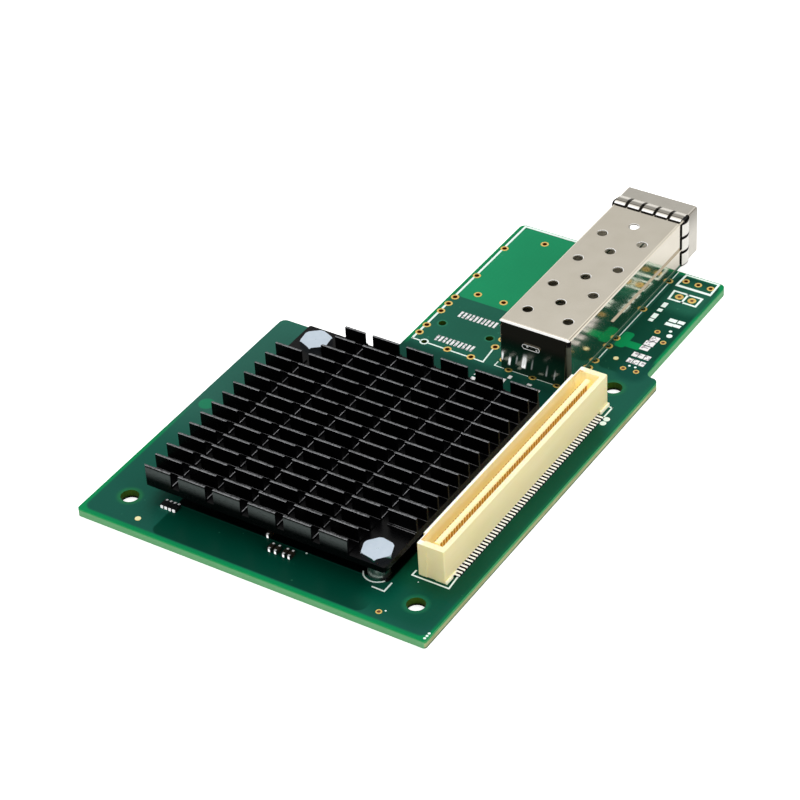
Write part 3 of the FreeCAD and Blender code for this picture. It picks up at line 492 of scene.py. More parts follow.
for n in range(15):
    angle = math.radians(205 + 8.5 * n)
    arc.append((arc_middle[0] + arc_radius * math.cos(angle), arc_middle[1] + arc_radius * math.sin(angle)))
path_bars(bm, arc, 0.26, *ink)
turned(bm, *bare_place, ((0.55, ink[0]), (0.85, ink[0]), (0.83, ink[1]), (0.55, ink[1])), 20)
dots = (
    # middle x, y, radius
    (33.62, -6.2, 0.24), (33.67, -5.58, 0.24), (33.67, -4.92, 0.24), (6.03, 1.95, 0.2), (24.82, -3.7, 0.16),
    (29.61, 82.85, 0.55), (27.6, 71.74, 0.24), (28.73, 71.8, 0.24), (31.5, 56.4, 0.6), (31.5, 55.1, 0.58),
    (25.68, 4.7, 0.1), (29.14, 84.17, 0.32),
)
for x, y, radius in dots:
    bmesh.ops.create_cone(bm, cap_ends=True, segments=14, radius1=radius, radius2=radius, depth=0.03,
                          matrix=Matrix.Translation((x, y, top + 0.01)))
marks = (
    # middle x, y, length along x, length along y
    (24.4, 90.9, 0.9, 1.5), (24.4, 89.1, 0.9, 0.9), (24.4, 87.1, 1.0, 1.5), (24.4, 85.7, 0.9, 0.8),
    (28.0, 87.3, 1.5, 0.95), (29.6, 87.4, 1.3, 0.9), (27.9, 86.0, 1.5, 0.9), (29.4, 86.1, 1.4, 0.85),
)
for x, y, wide, deep in marks:
    bar(bm, (x - wide / 2, y), (x + wide / 2, y), deep, *ink)
legend_material, tree, shader, card = shade("white epoxy legend ink")
patch = add(tree, "TexNoise", card, 1.6, 4.0)
tone = add(tree, "Mix", patch, "#DDF8EC", "#FCFFFD", **colours)
finish(shader, Base_Color=tone, Roughness=0.55, Specular_IOR_Level=0.3)
solid(bm, "white_legend", legend_material)

# Solder lands without parts: two rows of ten for the second port's connector, and pairs
# for small parts that this card leaves out. Each is a low cushion of levelled tin.
bm = bmesh.new()
contact_pitch = 0.8
row_start = empty_port + 0.2 - 4.5 * contact_pitch
# Each land: middle x, y, length along x, length along y
lands = [(row_start + n * contact_pitch, 71.0, 0.5, 1.75) for n in range(10)]
lands += [(row_start + n * contact_pitch, 62.9, 0.5, 1.65) for n in range(10)]
lands += [(27.8, 80.8, 1.6, 1.45), (27.6, 79.2, 1.9, 1.4), (27.5, 77.6, 1.7, 1.3)]
lands += [(x, y, 1.05, 1.3) for y in (75.2, 73.2) for x in (26.9, 28.1, 29.3)]
lands += [(5.4, 55.4, 0.9, 1.1), (5.4, 57.1, 0.9, 1.1), (7.3, 55.2, 0.9, 1.1), (7.3, 57.2, 0.9, 1.1)]
lands += [(10.1, 54.0, 1.2, 1.3), (10.1, 55.7, 1.2, 1.3), (10.1, 57.4, 1.2, 1.3), (13.1, 53.0, 0.5, 1.5)]
lands += [(17.2, 57.4, 0.7, 1.4), (15.0, 58.6, 0.9, 0.5), (10.9, 58.9, 0.7, 0.9)]
for x, y, wide, deep in lands:
    bar(bm, (x - wide / 2, y), (x + wide / 2, y), deep, top - 0.005, top + 0.05)
upper_edges = [edge for edge in bm.edges if min(corner.co.z for corner in edge.verts) > top]
bmesh.ops.bevel(bm, geom=upper_edges, offset=0.04, segments=1, profile=0.5, affect="EDGES", material=-1)
tin_material, tree, shader, card = shade("hot-air levelled tin")
ripple = add(tree, "TexNoise", card, 1.8, 3.0)
tone = add(tree, "Mix", ripple, "#F0EDF0", "#FFFFFF", **colours)
blotch = add(tree, "VectorMath", card, (1.0, 0.7, 1.0), operation="MULTIPLY")
blotch = add(tree, "TexNoise", blotch, 1.9, 2.0)
blotch = add(tree, "MapRange", blotch, 0.52, 0.6, 0.0, 0.8, **eased)
tone = add(tree, "Mix", blotch, tone, "#857A88", **colours)
bump = add(tree, "Bump", Strength=0.25, Distance=0.0001, Height=ripple)
finish(shader, Base_Color=tone, Metallic=0.25, Roughness=0.35, Normal=bump)
solid(bm, "empty_port_pads", tin_material)
# End caps and leads of the small parts: tin, with a painted glow that keeps them white in shade
cap_material, tree, shader, card = shade("tin end caps with painted glow")
tone = add(tree, "Mix", add(tree, "TexNoise", card, 3.0, 2.0), "#F2F1F2", "#FFFFFF", **colours)
finish(shader, Base_Color=tone, Metallic=0.3, Roughness=0.3, Emission_Color="#FFFFFF",
       Emission_Strength=0.5)

# Heatsink: extruded aluminium, cross-cut into thin pins and black anodised. The bright
# dye bath left the flat sides glossy; the sawn tops of the pins are rough and paler, and
# thin pale bars along the cross cuts carry painted highlights on their edges.
sink_low, sink_high = (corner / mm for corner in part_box("heatsink"))
fin_columns, fin_rows = 7, 16
cut_width, cut_depth, fin_depth = 1.6, 2.75, 0.38
last_row_inset = 0.55
fin_pitch_x = (sink_high.x - sink_low.x - (fin_columns - 1) * cut_width) / fin_columns + cut_width
fin_pitch_y = (sink_high.y - sink_low.y - last_row_inset - fin_depth) / (fin_rows - 1)
channel = sink_high.z - cut_depth
anodised_material, tree, shader, card = shade("black anodised aluminium")
grind = add(tree, "VectorMath", card, (1.6, 5.0, 5.0), operation="MULTIPLY")
grind = add(tree, "TexNoise", grind, 1.0, 4.0)
brushed = add(tree, "VectorMath", card, (7.0, 1.5, 1.0), operation="MULTIPLY")
brushed = add(tree, "TexNoise", brushed, 1.0, 3.0)
along, upright = add(tree, "SeparateXYZ", card).outputs[1:]
facing = add(tree, "SeparateXYZ", add(tree, "NewGeometry").outputs["True Normal"]).outputs
sawn = add(tree, "Math", add(tree, "Math", upright, sink_high.z - 0.1, operation="GREATER_THAN"),
           add(tree, "Math", facing["Z"], 0.5, operation="GREATER_THAN"), operation="MULTIPLY")
# Painted highlight: each pin's sawn top is brightest along its front edge
row_place = add(tree, "Math", along, sink_low.y, operation="SUBTRACT")
row_place = add(tree, "Math", row_place, fin_pitch_y, operation="MODULO")
lip = add(tree, "MapRange", row_place, 0.06, 0.14, **eased)
sawn_top_and_highlight = add(tree, "MapRange", brushed, 0.35, 0.62, **eased)
sawn_top_and_highlight = add(tree, "Mix", sawn_top_and_highlight, "#303132", "#727375", **colours)
edge_highlight_tone = add(tree, "MapRange", grind, 0.3, 0.6, **eased)
edge_highlight_tone = add(tree, "Mix", edge_highlight_tone, "#5E5F61", "#9E9FA1", **colours)
sawn_top_and_highlight = add(tree, "Mix", lip, edge_highlight_tone, sawn_top_and_highlight, **colours)
# Painted sheen: the outer face of the front row is paler towards its top
front = add(tree, "Math", add(tree, "Math", along, sink_low.y + 0.05, operation="LESS_THAN"),
            add(tree, "Math", facing["Y"], -0.5, operation="LESS_THAN"), operation="MULTIPLY")
sheen_band = add(tree, "Math", add(tree, "MapRange", upright, 5.9, 8.1, **eased),
            add(tree, "MapRange", upright, 8.3, 8.55, 1.0, 0.05, **eased), operation="MULTIPLY")
pale = add(tree, "Mix", grind, "#4A504F", "#525857", **colours)
pale = add(tree, "Mix", sheen_band, "#010102", pale, **colours)
tone = add(tree, "Mix", front, "#020203", pale, **colours)
tone = add(tree, "Mix", sawn, tone, sawn_top_and_highlight, **colours)
rough = add(tree, "MapRange", grind, 0.0, 1.0, 0.22, 0.36, **eased)
bump = add(tree, "Bump", Strength=0.05, Distance=0.0001, Height=grind)
finish(shader, Base_Color=tone, Roughness=rough, Specular_IOR_Level=0.12, Normal=bump)
dress("heatsink", anodised_material)
# Painted highlights: pale bars along the left edge of every cross cut and along the foot of every pin's front
bm = bmesh.new()
edge_highlight_level = (channel - 0.03, channel + 0.05)
for column in range(fin_columns):
    x = sink_low.x + column * fin_pitch_x
    for row in range(fin_rows - 1):
        y = sink_low.y + row * fin_pitch_y
        in_front_pocket = column == fin_columns - 2 and row < 3
        in_back_pocket = column == 0 and row > 11
        if column < fin_columns - 1 and not (in_front_pocket or in_back_pocket):
            edge_x = x + fin_pitch_x - cut_width - 0.03
            bar(bm, (edge_x, y + fin_depth), (edge_x, y + fin_pitch_y), 0.11, *edge_highlight_level)
        foot_y = y + fin_pitch_y - 0.03
        in_front_pocket = column == fin_columns - 1 and row < 2
        in_back_pocket = column == 0 and row > 11
        if not (in_front_pocket or in_back_pocket):
            bar(bm, (x, foot_y), (x + fin_pitch_x - cut_width, foot_y), 0.1, *edge_highlight_level)
pocket_y = sink_low.y + 9.3
bar(bm, (sink_high.x - 5.3, pocket_y), (sink_high.x - 0.1, pocket_y), 0.07, *edge_highlight_level)
edge_highlight_material, tree, shader, card = shade("painted highlight on heatsink edges")
tone = add(tree, "MapRange", add(tree, "TexNoise", card, 0.35, 2.0), 0.35, 0.65, **eased)
tone = add(tree, "Mix", tone, "#3C3C3E", "#9A9A9D", **colours)
finish(shader, Base_Color=tone, Roughness=0.5)
solid(bm, "heatsink_edge_highlights", edge_highlight_material)

# Heatsink screws: cold-headed steel, nickel plated. The struck top is finely matt with a
# small centre mark; the rolled rim and the flats are bright.
nickel_material, tree, shader, card = shade("nickel plate on steel")
haze = add(tree, "TexNoise", card, 1.2, 3.0)
tone = add(tree, "Mix", haze, "#B9C8D6", "#CAD5E0", **colours)
facing = add(tree, "SeparateXYZ", add(tree, "NewGeometry").outputs["True Normal"])
struck = add(tree, "Math", facing.outputs["Z"], 0.95, operation="GREATER_THAN")
metal = add(tree, "MapRange", struck, 0, 1, 1.0, 0.35)
rough = add(tree, "MapRange", struck, 0, 1, 0.12, 0.4)
finish(shader, Base_Color=tone, Metallic=metal, Roughness=rough)
dress("heatsink_bolts", nickel_material)
bm = bmesh.new()
head_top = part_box("heatsink_bolts")[1].z / mm
screw_places = ((18.9, 3.75), (-21.25, 46.6))
for x, y in screw_places:
    bmesh.ops.create_cone(bm, cap_ends=True, segments=12, radius1=0.24, radius2=0.12, depth=0.05,
                          matrix=Matrix.Translation((x, y, head_top - 0.005)))
solid(bm, "screw_centre_marks", nickel_material)

# Heatsink spacers: turned brass, tinned, soldered into the board by their noses. The
# lathe left fine level rings on them.
spacer_material, tree, shader, card = shade("tinned turned brass")
lathe = add(tree, "TexWave", card, 3.0, 0.3, bands_direction="Z")
tone = add(tree, "Mix", lathe.outputs["Fac"], "#B9BFBD", "#DDE2E0", **colours)
finish(shader, Base_Color=tone, Metallic=1.0, Roughness=0.28)
dress("heatsink_standoffs", spacer_material)

# Parts under the heatsink: epoxy-moulded packages, a soft grey pad, a metal-lidded
# crystal in a ceramic tray and a pressed iron-powder inductor.
moulding_material, tree, shader, card = shade("black epoxy moulding compound")
speck = add(tree, "TexNoise", card, 12.0, 2.0)
tone = add(tree, "Mix", speck, "#161718", "#242526", **colours)
bump = add(tree, "Bump", Strength=0.2, Distance=0.00005, Height=speck)
finish(shader, Base_Color=tone, Roughness=0.6, Normal=bump)
for node in ("network_chip", "flash_chip_body", "regulator_chip"):
    dress(node, moulding_material)
pad_material, tree, shader, card = shade("grey silicone gap pad")
speck = add(tree, "TexNoise", card, 3.0, 4.0)
tone = add(tree, "Mix", speck, "#8E939A", "#A7ACB3", **colours)
finish(shader, Base_Color=tone, Roughness=0.8)
dress("thermal_pad", pad_material)
iron_material, tree, shader, card = shade("pressed iron powder")
speck = add(tree, "TexVoronoi", card, 8.0)
tone = add(tree, "Mix", speck, "#3B3D40", "#4D4F52", **colours)
finish(shader, Base_Color=tone, Roughness=0.55)
dress("power_inductor", iron_material)
for node in ("flash_chip_leads", "decoupling_capacitor_terminals", "resistor_array_terminals"):
    dress(node, cap_material)
# Painted highlight on the front capacitors' ends: a white, glowing glint down the middle of each, strongest
# low on the front faces, with painted shade beside it
solder_material, tree, shader, card = shade("front capacitor ends with painted glints")
place = add(tree, "SeparateXYZ", card).outputs
painted_glint = 0.0
for x in (-1.75, 0.45, 1.65, 3.25, 4.3):
    away = add(tree, "Math", place["X"], x, operation="SUBTRACT")
    away = add(tree, "Math", away, operation="ABSOLUTE")
    glint = add(tree, "MapRange", away, 0.12, 0.24, 1.0, 0.0, **eased)
    painted_glint = add(tree, "Math", painted_glint, glint, operation="MAXIMUM")
facing = add(tree, "SeparateXYZ", add(tree, "NewGeometry").outputs["True Normal"]).outputs
lower = add(tree, "MapRange", place["Z"], top + 0.42, top + 0.6, 1.0, 0.0, **eased)
front = add(tree, "Math", facing["Y"], -0.5, operation="LESS_THAN")
lower = add(tree, "Math", lower, front, operation="MULTIPLY")
lower = add(tree, "MapRange", lower, 0.0, 1.0, 0.3, 1.0, **eased)
painted_glint = add(tree, "Math", painted_glint, lower, operation="MULTIPLY")
tone = add(tree, "Mix", add(tree, "TexNoise", card, 3.0, 2.0), "#0C1A16", "#22302A", **colours)
tone = add(tree, "Mix", painted_glint, tone, "#FFFFFF", **colours)
glow = add(tree, "Mix", painted_glint, "#000000", "#FFFFFF", **colours)
finish(shader, Base_Color=tone, Metallic=0.3, Roughness=0.3, Emission_Color=glow, Emission_Strength=0.9)
dress("capacitor_terminals", solder_material)
dress("clock_crystal", spacer_material)

# Chip capacitors and the resistor array: fired ceramic with tinned end caps, soldered
# on the board near its front edge and round the controller.
ceramic_material, tree, shader, card = shade("fired capacitor ceramic")
tone = add(tree, "Mix", add(tree, "TexNoise", card, 6.0, 3.0), "#14120E", "#2A241C", **colours)
finish(shader, Base_Color=tone, Roughness=0.45, Specular_IOR_Level=0.2)
for node in ("capacitor_bodies", "decoupling_capacitor_bodies"):
    dress(node, ceramic_material)
glaze_material, tree, shader, card = shade("black glaze over the resistors")
speck = add(tree, "TexNoise", card, 7.0, 2.0)
tone = add(tree, "Mix", speck, "#070808", "#121314", **colours)
# Painted highlight: white glints on the body's back edge at each of its four ends, where the back terminals
# catch the light
array_low, array_high = (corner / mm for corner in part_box("resistor_array_body"))
across, along = add(tree, "SeparateXYZ", card).outputs[:2]
half_pitch = (array_high.x - array_low.x) / 8
back_glints = add(tree, "Math", across, array_low.x, operation="SUBTRACT")
back_glints = add(tree, "Math", back_glints, half_pitch, operation="PINGPONG")
back_glints = add(tree, "MapRange", back_glints, half_pitch - 0.22, half_pitch - 0.12, **eased)
back = add(tree, "MapRange", along, array_high.y - 0.35, array_high.y - 0.25, **eased)
back_glints = add(tree, "Math", back_glints, back, operation="MULTIPLY")
tone = add(tree, "Mix", back_glints, tone, "#FFFFFF", **colours)
finish(shader, Base_Color=tone, Roughness=0.3)
dress("resistor_array_body", glaze_material)

# Mezzanine connector: one moulding of glass-filled nylon in natural cream. Light that
# goes into the open trough comes back warmer, so the trough looks tan.
trough = (26.9, 33.2, 2.3, 26.0, 0.4, 0.5)
outer_side = (29.78, 29.84)
rim_height = (7.98, 8.08)
nylon_material, tree, shader, card = shade("natural glass-filled nylon")
across, along, upright = add(tree, "SeparateXYZ", card).outputs
facing = add(tree, "SeparateXYZ", add(tree, "NewGeometry").outputs["True Normal"]).outputs
flow = add(tree, "VectorMath", card, (1.0, 0.12, 1.0), operation="MULTIPLY")
tone = add(tree, "Mix", add(tree, "TexNoise", flow, 0.8, 4.0), "#EFE3A8", "#F5EBC0", **colours)
low = add(tree, "MapRange", upright, 1.6, 4.5, 0.1, 0.0, **eased)
tone = add(tree, "Mix", low, tone, "#D9C98C", **colours)
# Painted light: the top of the rim is paler, whitest on its left part
rim = add(tree, "Math", add(tree, "MapRange", upright, 7.95, 8.08, **eased),
          add(tree, "Math", facing["Z"], 0.5, operation="GREATER_THAN"), operation="MULTIPLY")
pale = add(tree, "MapRange", across, 25.0, 26.0, **eased)
pale = add(tree, "Mix", pale, "#FFFEF2", "#F4F0C8", **colours)
tone = add(tree, "Mix", rim, tone, pale, **colours)
# Painted light: the foot block past the outer side is near white
outer = add(tree, "MapRange", across, *outer_side, **eased)
tone = add(tree, "Mix", outer, tone, "#FFFBE0", **colours)
within = add(tree, "Math", inside_pour(tree, card, trough),
             add(tree, "MapRange", upright, *rim_height, 1.0, 0.0, **eased), operation="MULTIPLY")
flow = add(tree, "VectorMath", card, (2.0, 0.15, 1.0), operation="MULTIPLY")
tan = add(tree, "Mix", add(tree, "TexNoise", flow, 0.5, 2.0), "#E0D2A2", "#E8DEB6", **colours)
tan = add(tree, "Mix", add(tree, "MapRange", across, 26.0, 26.5, **eased), tan, "#F6EAC0", **colours)
tone = add(tree, "Mix", within, tone, tan, **colours)
# The left wall's inner half is chamfered into the trough, and painted tan there as shade
chamfer_shade = add(tree, "Math", add(tree, "MapRange", across, 24.78, 24.9, **eased),
            add(tree, "MapRange", across, 25.6, 25.7, 1.0, 0.0, **eased), operation="MULTIPLY")
for limit in (add(tree, "MapRange", along, 7.3, 7.4, **eased),
              add(tree, "MapRange", along, 59.0, 59.1, 1.0, 0.0, **eased),
              add(tree, "MapRange", upright, *rim_height, **eased)):
    chamfer_shade = add(tree, "Math", chamfer_shade, limit, operation="MULTIPLY")
tone = add(tree, "Mix", chamfer_shade, tone, "#E2BE7C", **colours)
# Painted glow: the trough glows warm, most deeply down, as light through the thin walls would light it; the
# rest of the housing glows faintly and its foot block more
lit = add(tree, "Mix", add(tree, "MapRange", upright, 5.2, 7.9, **eased), "#DEC67C", "#A09258", **colours)
lit = add(tree, "Mix", within, add(tree, "Mix", outer, "#50492A", "#B8AB7A", **colours), lit, **colours)
bump = add(tree, "Bump", Strength=0.1, Distance=0.00005, Height=add(tree, "TexNoise", card, 10.0, 2.0))
finish(shader, Base_Color=tone, Roughness=0.42, Specular_IOR_Level=0.3, Normal=bump, Emission_Color=lit,
       Subsurface_Weight=0.4, Subsurface_Scale=0.9 * mm, Subsurface_Radius=(1.0, 0.62, 0.25),
       Emission_Strength=0.42)
dress("mezzanine_connector_housing", nylon_material)

# Contacts: stamped phosphor bronze. The blades are gold plated and the tails tinned, so
# one material changes from gold to tin at the moulding's floor.
contact_material, tree, shader, card = shade("gold-plated blades with tinned tails")
moulding_floor = 2.4
height = add(tree, "SeparateXYZ", card)
blade = add(tree, "Math", height.outputs["Z"], moulding_floor, operation="GREATER_THAN")
wear = add(tree, "TexNoise", card, 3.0, 2.0)
tin = add(tree, "Mix", wear, "#FAFAFA", "#FFFFFF", **colours)
gold = add(tree, "Mix", wear, "#8A5E1E", "#E0B050", **colours)
tone = add(tree, "Mix", blade, tin, gold, **colours)
# Painted shade: the tails' sheared sides are black, where they shade one another; the tails' other faces get
# a painted white glow
facing = add(tree, "SeparateXYZ", add(tree, "NewGeometry").outputs["True Normal"]).outputs
sheared = add(tree, "Math", facing["Y"], operation="ABSOLUTE")
sheared = add(tree, "Math", sheared, 0.6, operation="GREATER_THAN")
tail = add(tree, "Math", 1.0, blade, operation="SUBTRACT")
bright = add(tree, "Math", 1.0, sheared, operation="SUBTRACT")
bright = add(tree, "Math", tail, bright, operation="MULTIPLY")
shaded_sides = add(tree, "Math", tail, sheared, operation="MULTIPLY")
tone = add(tree, "Mix", shaded_sides, tone, "#0A0A0A", **colours)
metal = add(tree, "MapRange", blade, 0, 1, 0.3, 0.7)
glow = add(tree, "Mix", bright, "#000000", "#FFFFFF", **colours)
finish(shader, Base_Color=tone, Metallic=metal, Roughness=0.32, Emission_Color=glow,
       Emission_Strength=0.22)
for node in ("mezzanine_contacts_outer", "mezzanine_contacts_inner",
             "port_contacts_upper", "port_contacts_lower"):
    dress(node, contact_material)

# Port cage: nickel-silver sheet, 0.25 mm, folded from two blanks and pressed into the
# board. The rolled sheet is nearly a mirror with faint rolling lines; its unpolished
# inside, seen through the vents, is matt, with painted shade that darkens towards the rear.
cage_low, cage_high = (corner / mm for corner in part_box("cage_cover"))
roof = cage_high.z
skin = 0.2
half_width, half_length = 7.01, 23.7
cage_inside = (cage_middle, cage_rear + half_length, half_width - skin, half_length - skin, 0.05, 0.04)


def inside_cage(tree, card):
    """1 within the sheet of the cage and 0 on its outer faces."""
    height = add(tree, "SeparateXYZ", card)
    low = add(tree, "Math", height.outputs["Z"], top + 0.37, operation="GREATER_THAN")
    high = add(tree, "Math", height.outputs["Z"], roof - 0.06, operation="LESS_THAN")
    level = add(tree, "Math", low, high, operation="MULTIPLY")
    return add(tree, "Math", level, inside_pour(tree, card, cage_inside), operation="MULTIPLY")


cage_material, tree, shader, card = shade("rolled nickel-silver sheet")
across, along, upright = add(tree, "SeparateXYZ", card).outputs
facing = add(tree, "SeparateXYZ", add(tree, "NewGeometry").outputs["True Normal"]).outputs
roll = add(tree, "VectorMath", card, (0.7, 0.2, 5.0), operation="MULTIPLY")
roll = add(tree, "TexNoise", roll, 1.0, 2.0)
smear = add(tree, "TexNoise", card, 0.25, 3.0)
within = inside_cage(tree, card)
tone = add(tree, "Mix", smear, "#E9E1D1", "#F2EBDD", **colours)
# Painted shade inside the cage, darkest towards the rear
inside_shade = add(tree, "MapRange", along, cage_rear + 3, cage_rear + 30, **eased)
inside_shade = add(tree, "Mix", inside_shade, "#706447", "#C2BCAB", **colours)
# The rear wall carries a painted reflection: dark at the top, with bright streaks lower
# down, which lean a little
rear = add(tree, "Math", facing["Y"], -0.7, operation="LESS_THAN")
shaded = add(tree, "MapRange", upright, 4.0, 8.6, **eased)
shaded = add(tree, "Mix", shaded, "#888D80", "#4A4740", **colours)
uneven = add(tree, "VectorMath", card, (1.0, 0.2, 0.4), operation="MULTIPLY")
uneven = add(tree, "MapRange", add(tree, "TexNoise", uneven, 1.5, 2.0), 0.35, 0.5, 0.6, 1.0, **eased)
leaning = add(tree, "Math", upright, -0.12, operation="MULTIPLY")
leaning = add(tree, "Math", across, leaning, operation="ADD")
streaks = (
    # x of its line at level 0, half width, low end, high end, brightness
    (7.7, 0.3, 3.1, 5.5, 0.8), (9.35, 0.22, 2.5, 4.7, 0.9), (10.7, 0.16, 3.2, 5.3, 0.25),
    (12.2, 0.38, 2.8, 6.2, 1.0), (13.8, 0.14, 3.0, 5.8, 0.2), (16.8, 0.16, 2.6, 5.4, 0.2),
    (18.4, 0.12, 2.4, 5.0, 0.18), (19.8, 0.16, 2.1, 3.3, 0.3),
)
streak_reflections = 0.0
for x, half, low, high, bright in streaks:
    away = add(tree, "Math", leaning, x, operation="SUBTRACT")
    away = add(tree, "Math", away, operation="ABSOLUTE")
    streak = add(tree, "MapRange", away, half * 0.5, half * 1.5, bright, 0.0, **eased)
    for limit in (add(tree, "MapRange", upright, low, low + 0.4, **eased),
                  add(tree, "MapRange", upright, low + 1.2, high, 1.0, 0.0, **eased), uneven):
        streak = add(tree, "Math", streak, limit, operation="MULTIPLY")
    streak_reflections = add(tree, "Math", streak_reflections, streak, operation="MAXIMUM")
tone = add(tree, "Mix", rear, tone, shaded, **colours)
# The fold at the back carries a painted white highlight, and the roof ends before it in a thin painted shadow
fold = add(tree, "Math", add(tree, "Math", along, cage_rear + 0.28, operation="LESS_THAN"),
           add(tree, "Math", upright, roof - 0.42, operation="GREATER_THAN"), operation="MULTIPLY")
shadow = add(tree, "Math", add(tree, "MapRange", along, cage_rear + 0.26, cage_rear + 0.29, **eased),
             add(tree, "MapRange", along, cage_rear + 0.38, cage_rear + 0.42, 1.0, 0.0, **eased),
             operation="MULTIPLY")
on_roof = add(tree, "Math", upright, roof - 0.02, operation="GREATER_THAN")
shadow = add(tree, "Math", shadow, on_roof, operation="MULTIPLY")
tone = add(tree, "Mix", shadow, tone, "#777266", **colours)
tone = add(tree, "Mix", within, tone, inside_shade, **colours)
# Painted shade: the rear corner's wrap is matt dark grey, and black where an opening shows above it
corner = add(tree, "Math", along, cage_rear + 0.72, operation="LESS_THAN")
for limit in (add(tree, "Math", across, cage_middle + 6.35, operation="GREATER_THAN"),
              add(tree, "Math", upright, roof - 0.36, operation="LESS_THAN")):
    corner = add(tree, "Math", corner, limit, operation="MULTIPLY")
wrap = add(tree, "MapRange", upright, roof - 1.65, roof - 1.55, **eased)
wrap = add(tree, "Mix", wrap, "#4E5248", "#020202", **colours)
tone = add(tree, "Mix", corner, tone, wrap, **colours)
# Painted shade: the side is black at the front under the collar's wrap, where it opens
opening = add(tree, "MapRange", along, cage_high.y - 5.1, cage_high.y - 4.6, **eased)
for limit in (add(tree, "Math", across, cage_middle + 6.5, operation="GREATER_THAN"),
              add(tree, "MapRange", upright, roof - 1.3, roof - 1.0, **eased)):
    opening = add(tree, "Math", opening, limit, operation="MULTIPLY")
tone = add(tree, "Mix", opening, tone, "#030302", **colours)
# The foot of the right-hand side is matt, with a painted green reflection of the board before it
foot = add(tree, "Math", add(tree, "Math", facing["X"], 0.5, operation="GREATER_THAN"),
           add(tree, "MapRange", upright, top + 0.7, top + 1.1, 1.0, 0.0, **eased), operation="MULTIPLY")
tone = add(tree, "Mix", foot, tone, "#1B5A40", **colours)
reflected_streaks = add(tree, "Math", rear, streak_reflections, operation="MULTIPLY")
white = add(tree, "Math", fold, reflected_streaks, operation="MAXIMUM")
tone = add(tree, "Mix", white, tone, "#FFFFFF", **colours)
# Painted glow: the rear wall glows faintly, more towards the top, and its bright streaks glow white
lit = add(tree, "Mix", add(tree, "MapRange", upright, 6.5, 9.0, **eased), "#050705", "#191915", **colours)
lit = add(tree, "Mix", rear, "#000000", lit, **colours)
glow = add(tree, "Mix", reflected_streaks, lit, "#FFFFFF", **colours)
matt = within
for part in (corner, opening, reflected_streaks, foot):
    matt = add(tree, "Math", matt, part, operation="MAXIMUM")
metal = add(tree, "MapRange", matt, 0.0, 1.0, 1.0, 0.1, **eased)
rough = add(tree, "Math", add(tree, "MapRange", smear, 0.0, 1.0, 0.09, 0.16, **eased),
            add(tree, "Math", matt, 0.4, operation="MULTIPLY"), operation="ADD")
bump = add(tree, "Bump", Strength=0.06, Distance=0.00005, Height=roll)
finish(shader, Base_Color=tone, Metallic=metal, Roughness=rough, Normal=bump, Emission_Color=glow,
       Emission_Strength=0.8)
for node in ("cage_cover", "cage_base"):
    dress(node, cage_material)
# Each vent was punched from inside, which left a thin lip round it, painted bright as a highlight
bm = bmesh.new()
vent_radius = 0.93
first_vent = 4.9
vent_step = 4.475
for n in range(4):
    for x, y in ((-4.05, first_vent), (4.05, first_vent), (0, first_vent + vent_step)):
        turned(bm, cage_middle + x, cage_rear + y + 2 * vent_step * n,
               ((vent_radius, roof - 0.01), (vent_radius + 0.13, roof - 0.01),
                (vent_radius + 0.11, roof + 0.01), (vent_radius + 0.02, roof + 0.02)), 24)
lip_material, tree, shader, card = shade("punched vent lip with painted highlight")
# Painted highlight: the far half of each lip is white, and so is the whole rim of the rear tab
along = add(tree, "SeparateXYZ", card).outputs["Y"]
past = add(tree, "Math", along, cage_rear + first_vent - vent_step / 2, operation="SUBTRACT")
past = add(tree, "Math", past, vent_step, operation="MODULO")
far = add(tree, "MapRange", past, vent_step / 2 - 0.1, vent_step / 2 + 0.5, **eased)
tab = add(tree, "Math", along, cage_rear + 1, operation="LESS_THAN")
lit = add(tree, "Math", far, tab, operation="MAXIMUM")
tone = add(tree, "Mix", lit, "#A39E92", "#FFFFFF", **colours)
finish(shader, Base_Color=tone, Metallic=0.15, Roughness=0.4)
solid(bm, "vent_lips", lip_material)
# The rear wall's pressed oval tab gets a painted white highlight round its rim and two glints inside it,
# leaning with the wall
bm = bmesh.new()
tab_height = 7.6
wall_lean = math.radians(4.8)
rim_highlight = []
for n in range(25):
    angle = 2 * math.pi * n / 24
    rim_highlight.append((math.copysign(1.25, math.cos(angle)) + 0.45 * math.cos(angle), 0.42 * math.sin(angle)))
path_bars(bm, rim_highlight, 0.13, 0.0, 0.03)
bar(bm, (-0.9, 0.1), (-0.5, 0.16), 0.26, 0.0, 0.02)
bar(bm, (1.0, -0.1), (1.3, -0.1), 0.3, 0.0, 0.02)
tab_y = cage_rear - (roof - 0.5 - tab_height) * math.tan(wall_lean) - skin
place = Matrix.Translation((cage_middle - 0.4, tab_y, tab_height))
lean = Matrix.Rotation(math.radians(90) - wall_lean, 4, "X")
bmesh.ops.transform(bm, verts=bm.verts, matrix=place @ lean)
solid(bm, "rear_tab_rim_highlight", lip_material)

# Spring collar: tempered stainless strip, polished brighter than the cage it grips. Its
# fingers carry a painted reflection, dark along their crests and bright on the slopes behind them.
collar_start = cage_high.y - 3.15
finger_length = 2.95
finger_crest = collar_start - finger_length / 2
spring_material, tree, shader, card = shade("tempered stainless strip")
across, along, upright = add(tree, "SeparateXYZ", card).outputs
facing = add(tree, "SeparateXYZ", add(tree, "NewGeometry").outputs["True Normal"]).outputs
smear = add(tree, "TexNoise", card, 0.5, 3.0)
tone = add(tree, "Mix", smear, "#D2CDC3", "#DEDAD1", **colours)
finger_reflection = "#E9E5DD"
for low, high, before in ((-0.45, 0.8, "#97938B"), (-0.78, -0.62, "#DAD6CE"), (-1.2, -0.85, "#FFFFFF")):
    past = add(tree, "MapRange", along, finger_crest + low, finger_crest + high, **eased)
    finger_reflection = add(tree, "Mix", past, before, finger_reflection, **colours)
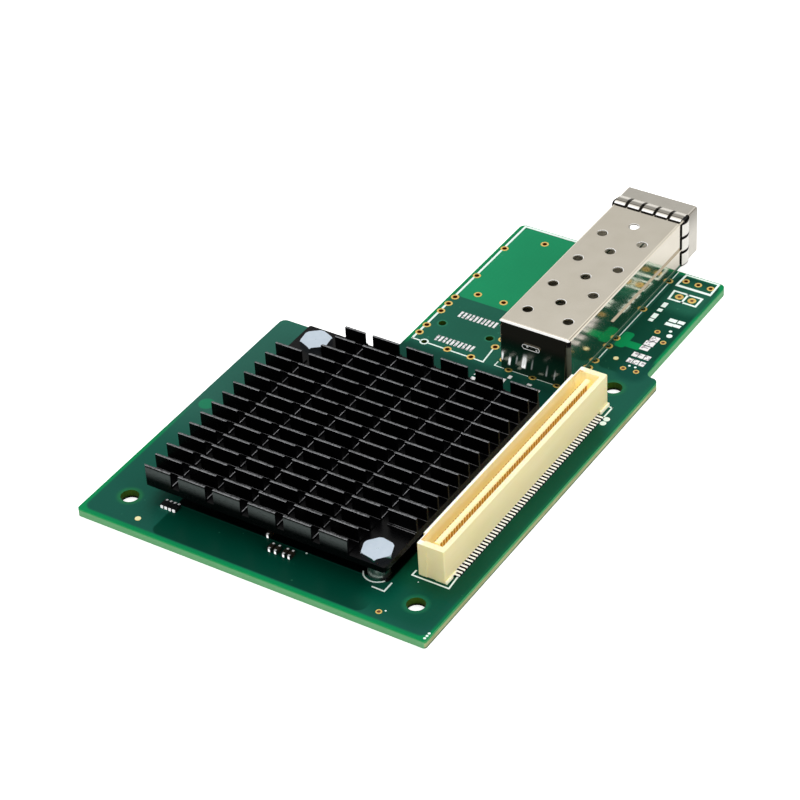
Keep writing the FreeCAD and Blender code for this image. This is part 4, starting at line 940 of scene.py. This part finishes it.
dark = add(tree, "Math", add(tree, "MapRange", along, finger_crest - 0.78, finger_crest - 0.62, **eased),
           add(tree, "MapRange", along, finger_crest - 0.6, finger_crest - 0.35, 1.0, 0.0, **eased),
           operation="MULTIPLY")
finger_reflection = add(tree, "Mix", dark, finger_reflection, "#5E5A52", **colours)
finger = add(tree, "Math", along, collar_start - 0.02, operation="LESS_THAN")
spring_low, spring_high = (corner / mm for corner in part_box("emi_spring"))
side_room = spring_high.z - spring_low.z - 1.3
top_room = cage_high.x - cage_low.x - 0.1
edge = add(tree, "Math", across, cage_middle - top_room / 2, operation="SUBTRACT")
edge = add(tree, "Math", edge, top_room / 10, operation="PINGPONG")
side_edge = add(tree, "Math", upright, (spring_low.z + spring_high.z - side_room) / 2,
                operation="SUBTRACT")
side_edge = add(tree, "Math", side_edge, side_room / 6, operation="PINGPONG")
flank = add(tree, "Math", facing["X"], operation="ABSOLUTE")
flank = add(tree, "Math", flank, 0.7, operation="GREATER_THAN")
edge = add(tree, "Math", edge, add(tree, "Math", 1.0, flank, operation="SUBTRACT"), operation="MULTIPLY")
edge = add(tree, "Math", edge, add(tree, "Math", side_edge, flank, operation="MULTIPLY"), operation="MAXIMUM")
tone = add(tree, "Mix", finger, tone, finger_reflection, **colours)
# Painted shade in the slits between the fingers and along their tips
slit_shade = add(tree, "MapRange", edge, 0.22, 0.42, 1.0, 0.0, **eased)
tip = add(tree, "MapRange", along, collar_start - 2.9, collar_start - 2.78, 1.0, 0.0, **eased)
slit_shade = add(tree, "Math", slit_shade, tip, operation="MAXIMUM")
slit_shade = add(tree, "Math", slit_shade, finger, operation="MULTIPLY")
right = add(tree, "Math", facing["X"], 0.5, operation="GREATER_THAN")
right_finger = add(tree, "Math", right, finger, operation="MULTIPLY")
tone = add(tree, "Mix", right_finger, tone, "#F2EFE8", **colours)
tone = add(tree, "Mix", slit_shade, tone, "#1E1C18", **colours)
right_band = add(tree, "Math", 1.0, finger, operation="SUBTRACT")
for limit in (right, add(tree, "MapRange", upright, 6.5, 11.8, **eased)):
    right_band = add(tree, "Math", right_band, limit, operation="MULTIPLY")
tone = add(tree, "Mix", right_band, tone, "#A29D94", **colours)
rough = add(tree, "MapRange", finger, 0.0, 1.0, 0.16, 0.24, **eased)
finish(shader, Base_Color=tone, Metallic=1.0, Roughness=rough)
dress("emi_spring", spring_material)

# Connector inside the cage: black liquid-crystal polymer, moulded round its contacts,
# with faint flow marks.
polymer_material, tree, shader, card = shade("black liquid-crystal polymer")
flow = add(tree, "TexNoise", card, 1.5, 4.0)
tone = add(tree, "Mix", flow, "#101112", "#1D1E20", **colours)
finish(shader, Base_Color=tone, Roughness=0.45)
dress("port_connector_housing", polymer_material)
